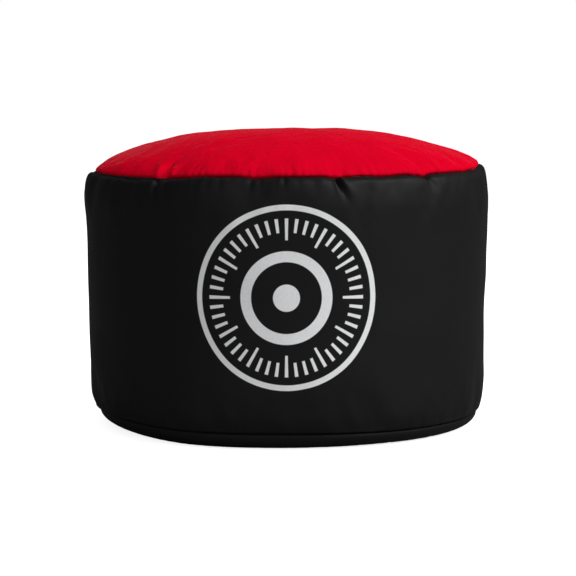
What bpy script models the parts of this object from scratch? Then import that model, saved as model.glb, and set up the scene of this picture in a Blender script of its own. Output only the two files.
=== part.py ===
"""Round sandbag trainer: a sewn cloth drum with a gathered, domed top, filled with sand in a film liner.

The drum has three cloth panels: a domed disc on top, a tube round the side and a base made of two halves.
Their raw edges turn inward at the two ring seams and are bound with tape. Between the two base halves a zip
closes the filling mouth. It lies in a shallow recess, and a flap with hook and loop strips covers it.

Units are metres, +Z is up, the bag stands on z = 0 with its axis on the Z axis, and the zip runs along X.
"""

import math

import bmesh
import bpy

# Bag outline
BAG_DIAMETER = 0.401
SIDE_HEIGHT = 0.2365
DOME_RISE = 0.0385
BASE_RISE = 0.015
BASE_ROUND = 0.020
DOME_OVERHANG = 0.0027
RIM_RISE = 0.003

# Cloth, tape and sewing
CLOTH = 0.0012
BINDING_TAPE = 0.0006
BINDING_REACH = 0.009
SEAM_ALLOWANCE = 0.012
FOLD_ROUND = 0.0007
LAYER_GAP = 0.0003

# Liner and filling
LINER_FILM = 0.0005
LINER_CLEARANCE = 0.0006
POCKET_CLEARANCE = 0.001
NECK_WIDTH = 0.050
NECK_THICKNESS = 0.005
NECK_GATHERED_WIDTH = 0.024
NECK_GATHERED_THICKNESS = 0.009
NECK_LENGTH = 0.150
NECK_OFFSET = 0.070
NECK_TO_TIE = 0.045
TIE_BAND = 0.0012
TIE_WIDTH = 0.0048
TIE_HEAD = 0.006
TIE_TAIL = 0.020

# Zip
TEETH_PER_ROW = 54
TOOTH_PITCH = 0.004
TOOTH_THICKNESS = 0.003
TOOTH_REACH = 0.0019
CORD_WIDTH = 0.0022
ZIP_TAPE = 0.0008
ZIP_TAPE_WIDTH = 0.0155
ZIP_TAPE_END = 0.015
STOP_LENGTH = 0.003
SLIDER_LENGTH = 0.0165
SLIDER_PLATE = 0.0012
SLIDER_FLANGE = 0.0011
SLIDER_SPLAY = 0.0021
SLIDER_CLEARANCE = 0.0006
POST_LENGTH = 0.0040
POST_WIDTH = 0.0044
BAIL_WIDTH = 0.003
BAIL_BAR = 0.001
TAB_LENGTH = 0.030
TAB_WIDTH = 0.010
TAB_THICKNESS = 0.0012
TAB_EYE_LENGTH = 0.006
TAB_EYE_WIDTH = 0.0048

# Flap over the zip
FLAP_LIFT = 0.0005
FLAP_THICKNESS = 0.0016
FLAP_MARGIN = 0.0015
FLAP_CORNER = 0.012
FLAP_ROOT_WIDTH = 0.0042
LOOP_THICKNESS = 0.0018
HOOK_THICKNESS = 0.0018
STRIP_WIDTH = 0.018
STRIP_END = 0.012
STRIP_TO_MOUTH = 0.0105

# Facets of the turned cloth, of the turned inner pieces and of small corners, and the angle shaded smooth
CLOTH_SEGMENTS = 52
INNER_SEGMENTS = 36
CORNER_STEPS = 4
SMOOTH_ANGLE = 35
CUT_OVERRUN = 0.005

# Side wall from the base seam to the top seam: shares of the bag's radius and of the side's height
WALL_SHARES = (
    (0.957, 0.0),
    (0.968, 0.036),
    (0.9755, 0.07),
    (0.9776, 0.19),
    (0.982, 0.60),
    (0.9925, 0.78),
    (1.0, 0.88),
    (0.9975, 0.915),
    (0.9905, 0.947),
    (0.9776, 0.981),
    (0.950, 1.0),
)
LINER_WALL_ROWS = (2, 4, 6, 7)

# Dome from its rim to the middle: shares of the rim's radius and of the rise above the rim
DOME_SHARES = (
    (0.985, 0.115),
    (0.95, 0.247),
    (0.87, 0.437),
    (0.74, 0.643),
    (0.57, 0.808),
    (0.36, 0.934),
    (0.16, 0.990),
    (0.0, 1.0),
)

# Rim of the top panel over the seam: shares of the overhang and of the rim's rise
RIM_SHARES = ((0.0, 0.0), (0.35, 0.13), (0.82, 0.40), (1.0, 1.0))

# A tooth's shoulder as a share of its reach, and what its half width gains over a distance along it
TOOTH_SHOULDER_SHARE = 0.68
TOOTH_FLARE_SHARE = 0.2

# The spout past its bend: distance from the tie in tie widths, and share of the way from gathered to flat
NECK_SHARES = ((-2, 0.35), (-1, 0.0), (1, 0.0), (3, 0.6))
TIE_TAIL_SHARE = 0.9

# Places worked out from the sizes above
BAG_RADIUS = BAG_DIAMETER / 2
SLOT = LAYER_GAP + BINDING_TAPE + LAYER_GAP
BASE_SEAM_Z = BASE_RISE
TOP_SEAM_Z = BASE_RISE + SIDE_HEIGHT
DOME_TOP_Z = TOP_SEAM_Z + DOME_RISE
WALL_FOOT_RADIUS = BAG_RADIUS * WALL_SHARES[0][0]
WALL_HEAD_RADIUS = BAG_RADIUS * WALL_SHARES[-1][0]
FOOT_LIP_RADIUS = WALL_FOOT_RADIUS - 2 * CLOTH - SLOT
HEAD_LIP_RADIUS = WALL_HEAD_RADIUS - 2 * CLOTH - SLOT
BASE_EDGE_RADIUS = FOOT_LIP_RADIUS - LAYER_GAP
TOP_EDGE_RADIUS = HEAD_LIP_RADIUS - LAYER_GAP
REST_RADIUS = BASE_EDGE_RADIUS - BASE_ROUND
FOOT_BINDING_INSIDE = BASE_EDGE_RADIUS - CLOTH - LAYER_GAP - BINDING_TAPE
HEAD_BINDING_INSIDE = TOP_EDGE_RADIUS - CLOTH - LAYER_GAP - BINDING_TAPE

FLAP_INNER_Z = FLAP_LIFT + FLAP_THICKNESS
LOOP_Z = FLAP_INNER_Z + LAYER_GAP
HOOK_Z = LOOP_Z + LOOP_THICKNESS + LAYER_GAP
ROOF_Z = HOOK_Z + HOOK_THICKNESS + LAYER_GAP
TAPE_Z = ROOF_Z + CLOTH + LAYER_GAP
CHAIN_Z = TAPE_Z + ZIP_TAPE / 2
PLATE_FACE = TOOTH_THICKNESS / 2 + LAYER_GAP
SLIDER_HALF_HEIGHT = PLATE_FACE + SLIDER_PLATE
TAB_AXIS_DROP = SLIDER_HALF_HEIGHT + LAYER_GAP + TAB_THICKNESS / 2

CHAIN_HALF = TEETH_PER_ROW * TOOTH_PITCH / 2
CORD_INNER = TOOTH_REACH + LAYER_GAP
CORD_OUTER = CORD_INNER + CORD_WIDTH
TAPE_INNER = CORD_OUTER + LAYER_GAP
SLIDER_TAIL_HALF = TAPE_INNER + SLIDER_FLANGE
SLIDER_NOSE_HALF = SLIDER_TAIL_HALF + SLIDER_SPLAY
POST_NOSE = SLIDER_LENGTH / 2 - SLIDER_FLANGE / 2
SLIDER_X = CHAIN_HALF + LAYER_GAP - (POST_NOSE - POST_LENGTH)
SLIDER_TRAVEL = SLIDER_X - SLIDER_LENGTH / 2 + CHAIN_HALF - LAYER_GAP
TAPE_HALF_LENGTH = CHAIN_HALF + ZIP_TAPE_END
MOUTH_HALF_WIDTH = SLIDER_NOSE_HALF + SLIDER_CLEARANCE
MOUTH_HALF_LENGTH = CHAIN_HALF + STOP_LENGTH + SLIDER_LENGTH / 2

STRIP_INNER_Y = MOUTH_HALF_WIDTH + STRIP_TO_MOUTH
STRIP_OUTER_Y = STRIP_INNER_Y + STRIP_WIDTH
FLAP_FRONT_Y = STRIP_OUTER_Y + FLAP_MARGIN
HINGE_Y = STRIP_OUTER_Y
TAB_FAR_X = SLIDER_X - SLIDER_TRAVEL - TAB_LENGTH
FLAP_HALF_LENGTH = -TAB_FAR_X + FLAP_MARGIN
RECESS_HALF_LENGTH = FLAP_HALF_LENGTH + FLAP_MARGIN
RECESS_FRONT_Y = FLAP_FRONT_Y + FLAP_MARGIN
ROOT_FRONT_Y = HINGE_Y + LAYER_GAP / 2
ROOT_REAR_Y = ROOT_FRONT_Y + FLAP_ROOT_WIDTH
RECESS_REAR_Y = ROOT_REAR_Y + LAYER_GAP

NECK_Z = CHAIN_Z + SLIDER_HALF_HEIGHT + LAYER_GAP + TIE_BAND + LAYER_GAP + NECK_GATHERED_THICKNESS / 2
POCKET_Z = NECK_Z + NECK_GATHERED_THICKNESS / 2 + LAYER_GAP + TIE_BAND + POCKET_CLEARANCE
NECK_BEND = POCKET_Z - NECK_Z
POCKET_HALF_LENGTH = RECESS_HALF_LENGTH + CLOTH + POCKET_CLEARANCE
POCKET_HALF_WIDTH = RECESS_REAR_Y + CLOTH + POCKET_CLEARANCE


def clear_scene():
    """Removes what the scene holds."""
    for item in list(bpy.data.objects):
        bpy.data.objects.remove(item, do_unlink=True)


def finish(name, colour, roughness, metallic=0.0):
    """One Principled material."""
    material = bpy.data.materials.new(name)
    material.use_nodes = True
    shader = material.node_tree.nodes["Principled BSDF"]
    shader.inputs["Base Color"].default_value = (*colour, 1)
    shader.inputs["Roughness"].default_value = roughness
    shader.inputs["Metallic"].default_value = metallic
    return material


def place(name, bm, material, location=(0, 0, 0), parent=None):
    """Turns a bmesh into a named object with its faces pointing out."""
    bmesh.ops.recalc_face_normals(bm, faces=bm.faces)
    mesh = bpy.data.meshes.new(name)
    bm.to_mesh(mesh)
    bm.free()
    item = bpy.data.objects.new(name, mesh)
    bpy.context.collection.objects.link(item)
    item.location = location
    item.parent = parent
    if material:
        mesh.materials.append(material)
    mesh.shade_smooth()
    mesh.set_sharp_from_angle(angle=math.radians(SMOOTH_ANGLE))
    return item


def empty(name, location):
    """An axis or a carriage that pieces hang on."""
    item = bpy.data.objects.new(name, None)
    bpy.context.collection.objects.link(item)
    item.location = location
    return item


def combine(item, tool, operation):
    """Adds or cuts with a helper solid that stays out of the model."""
    tool.hide_render = True
    tool.display_type = "WIRE"
    step = item.modifiers.new(tool.name, "BOOLEAN")
    step.operation = operation
    step.solver = "EXACT"
    step.object = tool


def offset_path(points, distance):
    """The path moved to the left of its direction, with mitred corners. Ends on the axis stay there."""
    normals = []
    for (x0, y0), (x1, y1) in zip(points, points[1:]):
        length = math.hypot(x1 - x0, y1 - y0)
        normals.append(((y0 - y1) / length, (x1 - x0) / length))
    moved = []
    for index, (x, y) in enumerate(points):
        before = normals[max(index - 1, 0)]
        after = normals[min(index, len(normals) - 1)]
        if x == 0:
            moved.append((0, y + math.copysign(distance, before[1] + after[1])))
            continue
        total = (before[0] + after[0], before[1] + after[1])
        scale = distance * 2 / (total[0] ** 2 + total[1] ** 2)
        moved.append((x + total[0] * scale, y + total[1] * scale))
    return moved


def bridge(bm, lower, upper):
    """Faces between two rings, either of which may be a single point."""
    count = max(len(lower), len(upper))
    for index in range(count):
        corners = [
            lower[index % len(lower)],
            lower[(index + 1) % len(lower)],
            upper[(index + 1) % len(upper)],
            upper[index % len(upper)],
        ]
        unique = list(dict.fromkeys(corners))
        if len(unique) > 2:
            bm.faces.new(unique)


def turned(profile, segments):
    """A body of revolution from a closed profile of radius and height."""
    bm = bmesh.new()
    rings = []
    for radius, height in profile:
        count = segments if radius > 0 else 1
        rings.append(
            [
                bm.verts.new((radius * math.cos(turn), radius * math.sin(turn), height))
                for turn in (math.tau * index / segments for index in range(count))
            ]
        )
    for lower, upper in zip(rings, rings[1:] + rings[:1]):
        bridge(bm, lower, upper)
    return bm


def prism(outline, low, high, axis="Z"):
    """An outline pushed out along an axis. The outline holds the other two coordinates, in X, Y, Z order."""
    order = {"X": (2, 0, 1), "Y": (0, 2, 1), "Z": (0, 1, 2)}[axis]
    bm = bmesh.new()
    ends = []
    for level in (low, high):
        ends.append([bm.verts.new([(a, b, level)[k] for k in order]) for a, b in outline])
    bridge(bm, ends[0], ends[1])
    for ring in ends:
        bm.faces.new(ring)
    return bm


def block(x0, x1, y0, y1, z0, z1):
    """A rectangular block between two corners."""
    return prism([(x0, y0), (x1, y0), (x1, y1), (x0, y1)], z0, z1)


def loft(sections):
    """A body through closed sections with equal point counts, capped at both ends."""
    bm = bmesh.new()
    rings = [[bm.verts.new(point) for point in section] for section in sections]
    for lower, upper in zip(rings, rings[1:]):
        bridge(bm, lower, upper)
    bm.faces.new(rings[0])
    bm.faces.new(rings[-1])
    return bm


def arc(x, y, radius, start, end):
    """Points of a round corner, between two angles in degrees."""
    turns = [start + (end - start) * step / CORNER_STEPS for step in range(CORNER_STEPS + 1)]
    return [(x + radius * math.cos(math.radians(t)), y + radius * math.sin(math.radians(t))) for t in turns]


def wall_path():
    """The side wall's outer face, from the base seam up to the top seam."""
    return [(BAG_RADIUS * radius, BASE_SEAM_Z + SIDE_HEIGHT * height) for radius, height in WALL_SHARES]


def base_path():
    """The base's outer face, from the middle out to the foot of its turned-up edge."""
    path = [(0, 0)]
    for step in range(CORNER_STEPS + 1):
        turn = math.radians(90) * step / CORNER_STEPS
        path.append((REST_RADIUS + BASE_ROUND * math.sin(turn), BASE_RISE * (1 - math.cos(turn))))
    return path


def dome_path():
    """The dome's outer face, from above its rim to the middle."""
    rim_radius = TOP_EDGE_RADIUS + DOME_OVERHANG
    rim_z = TOP_SEAM_Z + RIM_RISE
    return [(rim_radius * radius, rim_z + (DOME_TOP_Z - rim_z) * rise) for radius, rise in DOME_SHARES]


def rim_path():
    """The top panel's outer face, from its turned-down edge out over the seam to the rim."""
    return [
        (TOP_EDGE_RADIUS, TOP_SEAM_Z - SEAM_ALLOWANCE),
    ] + [(TOP_EDGE_RADIUS + DOME_OVERHANG * out, TOP_SEAM_Z + RIM_RISE * up) for out, up in RIM_SHARES]


def make_top_panel(cloth):
    """The domed disc, whose edge turns down inside the top seam."""
    outer = rim_path() + dome_path()
    lip_radius = TOP_EDGE_RADIUS - CLOTH
    inner = [(lip_radius, TOP_SEAM_Z - SEAM_ALLOWANCE), (lip_radius, TOP_SEAM_Z + CLOTH / 2)]
    inner += offset_path(dome_path(), CLOTH)
    return place("top_panel", turned(outer + inner[::-1], CLOTH_SEGMENTS), cloth)


def folded_edge(outer_radius, fold_z, away):
    """The fold where the wall turns inward and back. Away is 1 for the head's fold and -1 for the foot's."""
    lip = outer_radius - 2 * CLOTH - SLOT
    return [
        (outer_radius, fold_z - away * FOLD_ROUND),
        (outer_radius - FOLD_ROUND, fold_z),
        (lip + FOLD_ROUND, fold_z),
        (lip, fold_z - away * FOLD_ROUND),
        (lip, fold_z - away * SEAM_ALLOWANCE),
        (lip + CLOTH, fold_z - away * SEAM_ALLOWANCE),
        (lip + CLOTH, fold_z - away * CLOTH),
        (outer_radius - CLOTH, fold_z - away * CLOTH),
    ]


def make_side_panel(cloth):
    """The tube round the side, with its edges turned inward at both seams."""
    wall = wall_path()
    inside = offset_path(wall, CLOTH)
    head = folded_edge(WALL_HEAD_RADIUS, TOP_SEAM_Z, 1)
    foot = folded_edge(WALL_FOOT_RADIUS, BASE_SEAM_Z, -1)
    profile = wall[1:-1] + head + inside[-2:0:-1] + foot[::-1]
    return place("side_panel", turned(profile, CLOTH_SEGMENTS), cloth)


def make_base_half(name, cloth, side):
    """One half of the base, with its half of the recess and mouth. Side is -1 for front and 1 for rear."""
    outer = base_path() + [(BASE_EDGE_RADIUS, BASE_SEAM_Z + SEAM_ALLOWANCE)]
    half = place(name, turned(outer + offset_path(outer, CLOTH)[::-1], CLOTH_SEGMENTS), cloth)
    tray = block(
        -RECESS_HALF_LENGTH - CLOTH,
        RECESS_HALF_LENGTH + CLOTH,
        -RECESS_FRONT_Y - CLOTH,
        RECESS_REAR_Y + CLOTH,
        CLOTH / 2,
        ROOF_Z + CLOTH,
    )
    recess = block(
        -RECESS_HALF_LENGTH, RECESS_HALF_LENGTH, -RECESS_FRONT_Y, RECESS_REAR_Y, -CUT_OVERRUN, ROOF_Z
    )
    mouth = block(
        -MOUTH_HALF_LENGTH,
        MOUTH_HALF_LENGTH,
        -MOUTH_HALF_WIDTH,
        MOUTH_HALF_WIDTH,
        -CUT_OVERRUN,
        CHAIN_Z + CUT_OVERRUN,
    )
    low_y = -LAYER_GAP / 2 if side < 0 else -BAG_RADIUS
    high_y = BAG_RADIUS if side < 0 else LAYER_GAP / 2
    other = block(-BAG_RADIUS, BAG_RADIUS, low_y, high_y, -CUT_OVERRUN, TOP_SEAM_Z)
    combine(half, place(name + "_tray", tray, cloth), "UNION")
    combine(half, place(name + "_recess_cut", recess, None), "DIFFERENCE")
    combine(half, place(name + "_mouth_cut", mouth, None), "DIFFERENCE")
    combine(half, place(name + "_half_cut", other, None), "DIFFERENCE")
    return half


def make_ring_binding(name, tape, lip_radius, lip_end_z, away):
    """Tape folded over the turned-in edges of a ring seam. Away is 1 at the head, where they hang down."""
    outer = lip_radius + CLOTH + LAYER_GAP
    inner = lip_radius - LAYER_GAP - CLOTH - LAYER_GAP
    web = lip_end_z - away * LAYER_GAP
    leg_end = lip_end_z + away * BINDING_REACH
    profile = [
        (outer, leg_end),
        (outer + BINDING_TAPE, leg_end),
        (outer + BINDING_TAPE, web - away * BINDING_TAPE),
        (inner - BINDING_TAPE, web - away * BINDING_TAPE),
        (inner - BINDING_TAPE, leg_end),
        (inner, leg_end),
        (inner, web),
        (outer, web),
    ]
    return place(name, turned(profile, CLOTH_SEGMENTS), tape)


def make_back_seam_binding(tape):
    """Tape over the upright seam of the side panel, on the inside at the back. It lies on two wall facets."""
    inside = offset_path(wall_path(), CLOTH + LAYER_GAP)[2:-3]
    rows = inside + [(radius - BINDING_TAPE, height) for radius, height in inside[::-1]]
    half_facet = math.pi / CLOTH_SEGMENTS
    sections = []
    for turn, share in ((-half_facet, math.cos(half_facet)), (0, 1), (half_facet, math.cos(half_facet))):
        angle = math.radians(90) + turn
        sections.append([(r * share * math.cos(angle), r * share * math.sin(angle), z) for r, z in rows])
    return place("back_seam_binding", loft(sections), tape)


def tooth_half_width(reach):
    """Half the width of a tooth at a distance past the zip's centre line, wider towards its head."""
    return (TOOTH_PITCH / 2 - LAYER_GAP) / 2 + TOOTH_FLARE_SHARE * reach


def comb_outline(shift):
    """One row of teeth on its cord, seen from above, with the teeth towards +Y."""
    shoulder = TOOTH_REACH * TOOTH_SHOULDER_SHARE
    points = [
        (-CHAIN_HALF, -CORD_INNER),
        (-CHAIN_HALF, -CORD_OUTER),
        (CHAIN_HALF, -CORD_OUTER),
        (CHAIN_HALF, -CORD_INNER),
    ]
    neck = tooth_half_width(-CORD_INNER)
    head = tooth_half_width(shoulder)
    tip = tooth_half_width(0) - (TOOTH_REACH - shoulder) / 2
    for index in reversed(range(TEETH_PER_ROW)):
        middle = (index - (TEETH_PER_ROW - 1) / 2) * TOOTH_PITCH + shift
        points += [
            (middle + neck, -CORD_INNER),
            (middle + head, shoulder),
            (middle + tip, TOOTH_REACH),
            (middle - tip, TOOTH_REACH),
            (middle - head, shoulder),
            (middle - neck, -CORD_INNER),
        ]
    return points


def make_zip_row(name, tape_name, teeth, tape, side):
    """A tape and its row of teeth. Side is -1 for front and 1 for rear."""
    outline = [(x, -side * y) for x, y in comb_outline(side * TOOTH_PITCH / 4)]
    low = CHAIN_Z - TOOTH_THICKNESS / 2
    place(name, prism(outline, low, low + TOOTH_THICKNESS), teeth)
    edges = sorted((side * TAPE_INNER, side * (TAPE_INNER + ZIP_TAPE_WIDTH)))
    strip = block(-TAPE_HALF_LENGTH, TAPE_HALF_LENGTH, *edges, TAPE_Z, TAPE_Z + ZIP_TAPE)
    place(tape_name, strip, tape)


def make_zip_stops(metal):
    """The bridge at the zip's closed foot and the two stops past the slider's nose."""
    low = CHAIN_Z - TOOTH_THICKNESS / 2
    high = low + TOOTH_THICKNESS
    foot = -CHAIN_HALF - LAYER_GAP
    place("zip_bottom_stop", block(foot - STOP_LENGTH, foot, -CORD_OUTER, CORD_OUTER, low, high), metal)
    nose = SLIDER_X + SLIDER_LENGTH / 2 + LAYER_GAP
    for name, side in (("zip_top_stop_front", -1), ("zip_top_stop_rear", 1)):
        edges = sorted((side * CORD_WIDTH / 2, side * CORD_OUTER))
        place(name, block(nose, nose + STOP_LENGTH, *edges, low, high), metal)


def channel(side):
    """One plate of the slider with its two flanges. Side is -1 for the outer plate and 1 for the inner."""
    flange_z = side * (ZIP_TAPE / 2 + LAYER_GAP)
    face_z = side * PLATE_FACE
    back_z = side * SLIDER_HALF_HEIGHT
    sections = []
    for x, half in ((-SLIDER_LENGTH / 2, SLIDER_TAIL_HALF), (SLIDER_LENGTH / 2, SLIDER_NOSE_HALF)):
        inner = half - SLIDER_FLANGE
        outline = [
            (half, back_z),
            (half, flange_z),
            (inner, flange_z),
            (inner, face_z),
            (-inner, face_z),
            (-inner, flange_z),
            (-half, flange_z),
            (-half, back_z),
        ]
        sections.append([(x, y, z) for y, z in outline])
    return loft(sections)


def make_slider(metal):
    """The slider: two flanged plates, the post between them that parts the teeth, and the tab's bail."""
    carriage = empty("slider_carriage", (SLIDER_X, 0, CHAIN_Z))
    slider = place("zip_slider", channel(-1), metal, parent=carriage)
    post_outline = [(POST_NOSE - POST_LENGTH, 0), (POST_NOSE, -POST_WIDTH / 2), (POST_NOSE, POST_WIDTH / 2)]
    sunk = PLATE_FACE + SLIDER_PLATE / 2
    post = place("slider_post", prism(post_outline, -sunk, sunk), metal, parent=carriage)
    inner_plate = place("slider_inner_plate", channel(1), metal, parent=carriage)
    clear = TAB_THICKNESS / 2 + LAYER_GAP
    outer = clear + BAIL_BAR
    bail_outline = [
        (-outer, -sunk),
        (-outer, -TAB_AXIS_DROP - outer),
        (outer, -TAB_AXIS_DROP - outer),
        (outer, -sunk),
        (clear, -sunk),
        (clear, -TAB_AXIS_DROP - clear),
        (-clear, -TAB_AXIS_DROP - clear),
        (-clear, -sunk),
    ]
    bail_body = prism(bail_outline, -BAIL_WIDTH / 2, BAIL_WIDTH / 2, "Y")
    bail = place("slider_bail", bail_body, metal, parent=carriage)
    combine(slider, post, "UNION")
    combine(slider, inner_plate, "UNION")
    combine(slider, bail, "UNION")
    return carriage


def make_pull_tab(metal, carriage):
    """The tab: a stamped plate whose end bar passes through the bail. Its origin is on the swing axis."""
    half = TAB_WIDTH / 2
    bar = TAB_THICKNESS / 2
    tail = arc(-TAB_LENGTH + half, 0, half, 90, 270)
    outline = [(bar, half)] + tail + [(bar, -half)]
    tab = place(
        "zip_pull_tab", prism(outline, -bar, bar), metal, location=(0, 0, -TAB_AXIS_DROP), parent=carriage
    )
    eye = block(-bar - TAB_EYE_LENGTH, -bar, -TAB_EYE_WIDTH / 2, TAB_EYE_WIDTH / 2, -CUT_OVERRUN, CUT_OVERRUN)
    eye_cut = place("tab_eye_cut", eye, None, location=(0, 0, -TAB_AXIS_DROP), parent=carriage)
    combine(tab, eye_cut, "DIFFERENCE")


def make_flap(cloth, loop_pile, hook_pile):
    """The flap, its sewn root and the two strips that hold it shut. It turns on its lower rear edge."""
    hinge = empty("flap_hinge_line", (0, HINGE_Y, FLAP_LIFT))
    rear = -LAYER_GAP / 2
    front = -HINGE_Y - FLAP_FRONT_Y
    reach = FLAP_HALF_LENGTH - FLAP_CORNER
    outline = [(FLAP_HALF_LENGTH, rear), (-FLAP_HALF_LENGTH, rear)]
    outline += arc(-reach, front + FLAP_CORNER, FLAP_CORNER, 180, 270)
    outline += arc(reach, front + FLAP_CORNER, FLAP_CORNER, 270, 360)
    place("closure_flap", prism(outline, 0, FLAP_THICKNESS), cloth, parent=hinge)
    strip_half = FLAP_HALF_LENGTH - STRIP_END
    loop = block(
        -strip_half,
        strip_half,
        -HINGE_Y - STRIP_OUTER_Y,
        -HINGE_Y - STRIP_INNER_Y,
        LOOP_Z - FLAP_LIFT,
        LOOP_Z - FLAP_LIFT + LOOP_THICKNESS,
    )
    place("loop_strip", loop, loop_pile, parent=hinge)
    hook = block(-strip_half, strip_half, -STRIP_OUTER_Y, -STRIP_INNER_Y, HOOK_Z, HOOK_Z + HOOK_THICKNESS)
    place("hook_strip", hook, hook_pile)
    root = block(-FLAP_HALF_LENGTH, FLAP_HALF_LENGTH, ROOT_FRONT_Y, ROOT_REAR_Y, FLAP_LIFT, ROOF_Z - LAYER_GAP)
    place("flap_root", root, cloth)


def liner_path():
    """The liner's outer face: clear of the panels, the bindings and the back seam."""
    lower = offset_path(base_path(), CLOTH + LINER_CLEARANCE)
    foot_radius = FOOT_BINDING_INSIDE - LINER_CLEARANCE
    head_radius = HEAD_BINDING_INSIDE - LINER_CLEARANCE
    foot_lip_z = BASE_SEAM_Z + SEAM_ALLOWANCE
    head_lip_z = TOP_SEAM_Z - SEAM_ALLOWANCE
    tape_clear = LAYER_GAP + BINDING_TAPE + LINER_CLEARANCE
    wall = offset_path(wall_path(), CLOTH + LAYER_GAP + BINDING_TAPE + LINER_CLEARANCE)
    path = [lower[0], lower[1], lower[3], lower[4]]
    path.append((foot_radius, foot_lip_z - BINDING_REACH - LINER_CLEARANCE))
    path.append((foot_radius, foot_lip_z + tape_clear))
    path += [wall[row] for row in LINER_WALL_ROWS]
    path.append((head_radius, head_lip_z - tape_clear))
    path.append((head_radius, TOP_SEAM_Z))
    dome = offset_path(dome_path(), CLOTH + LINER_CLEARANCE)
    return path + [dome[1], dome[3], dome[5], dome[7]]


def pocket_cut(name, growth):
    """The space left over the zip: a block up into the liner's underside."""
    x = POCKET_HALF_LENGTH + growth
    y = POCKET_HALF_WIDTH + growth
    return place(name, block(-x, x, -y, y, -CUT_OVERRUN, POCKET_Z + growth), None)


def make_liner(film):
    """The film bag: a thin shell, dented over the zip, with a mouth for its spout in the roof of the dent."""
    path = liner_path()
    liner = place("liner_bag", turned(path, INNER_SEGMENTS), film)
    cavity = place("liner_cavity_cut", turned(offset_path(path, LINER_FILM), INNER_SEGMENTS), None)
    combine(cavity, pocket_cut("cavity_pocket_cut", LINER_FILM), "DIFFERENCE")
    combine(liner, pocket_cut("liner_pocket_cut", 0), "DIFFERENCE")
    combine(liner, cavity, "DIFFERENCE")
    clear = LAYER_GAP
    x = NECK_THICKNESS / 2 + clear
    y = NECK_WIDTH / 2 + clear
    mouth = block(-NECK_OFFSET - x, -NECK_OFFSET + x, -y, y, POCKET_Z - CUT_OVERRUN, POCKET_Z + CUT_OVERRUN)
    combine(liner, place("liner_mouth_cut", mouth, None), "DIFFERENCE")
    return liner


def make_sand(sand):
    """The filling, which takes the liner's shape."""
    inset = LINER_FILM + LAYER_GAP
    body = place("sand_fill", turned(offset_path(liner_path(), inset), INNER_SEGMENTS), sand)
    combine(body, pocket_cut("sand_pocket_cut", inset), "DIFFERENCE")
    return body


def neck_section(x, z, lean, half_width, half_thickness):
    """A rounded section of the spout. Lean is the turn of its thickness from upright, in degrees."""
    across = (math.sin(math.radians(lean)), math.cos(math.radians(lean)))
    corner = half_thickness
    flat = half_width - corner
    outline = arc(flat, 0, corner, -90, 90) + arc(-flat, 0, corner, 90, 270)
    return [(x + t * across[0], y, z + t * across[1]) for y, t in outline]


def make_neck(film):
    """The spout, closed flat: it comes down out of the liner, bends and lies gathered above the zip."""
    width = NECK_WIDTH / 2
    thin = NECK_THICKNESS / 2
    narrow = NECK_GATHERED_WIDTH / 2
    thick = NECK_GATHERED_THICKNESS / 2
    start_x = -NECK_OFFSET
    tie_x = start_x + NECK_TO_TIE
    sections = [neck_section(start_x, POCKET_Z + LINER_FILM, 90, width, thin)]
    for step in range(CORNER_STEPS + 1):
        lean = 90 - 90 * step / CORNER_STEPS
        turn = math.radians(lean)
        x = start_x + NECK_BEND * (1 - math.sin(turn))
        z = NECK_Z + NECK_BEND * (1 - math.cos(turn))
        sections.append(neck_section(x, z, lean, width, thin))
    for steps, share in NECK_SHARES:
        half = narrow + (width - narrow) * share
        deep = thick + (thin - thick) * share
        sections.append(neck_section(tie_x + TIE_WIDTH * steps, NECK_Z, 0, half, deep))
    sections.append(neck_section(start_x + NECK_LENGTH, NECK_Z, 0, width, thin))
    place("liner_neck", loft(sections), film)
    return tie_x


def make_tie(plastic, tie_x):
    """A cable tie round the gathered spout: its band, its square head and its spare tail."""
    half = TIE_WIDTH / 2
    rings = []
    for grow in (LAYER_GAP, LAYER_GAP + TIE_BAND):
        for x in (tie_x - half, tie_x + half) if grow == LAYER_GAP else (tie_x + half, tie_x - half):
            rings.append(
                neck_section(x, NECK_Z, 0, NECK_GATHERED_WIDTH / 2 + grow, NECK_GATHERED_THICKNESS / 2 + grow)
            )
    bm = bmesh.new()
    loops = [[bm.verts.new(point) for point in ring] for ring in rings]
    for lower, upper in zip(loops, loops[1:] + loops[:1]):
        bridge(bm, lower, upper)
    tie = place("neck_tie", bm, plastic)
    face = NECK_GATHERED_WIDTH / 2 + LAYER_GAP + TIE_BAND / 2
    back = face + TIE_HEAD
    size = TIE_HEAD / 2
    head = block(tie_x - size, tie_x + size, face, back, NECK_Z - size, NECK_Z + size)
    wide = TIE_WIDTH * TIE_TAIL_SHARE / 2
    thin = TIE_BAND / 2
    tail = block(tie_x - wide, tie_x + wide, back - size, back + TIE_TAIL, NECK_Z - thin, NECK_Z + thin)
    combine(tie, place("tie_head", head, plastic), "UNION")
    combine(tie, place("tie_tail", tail, plastic), "UNION")


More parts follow.
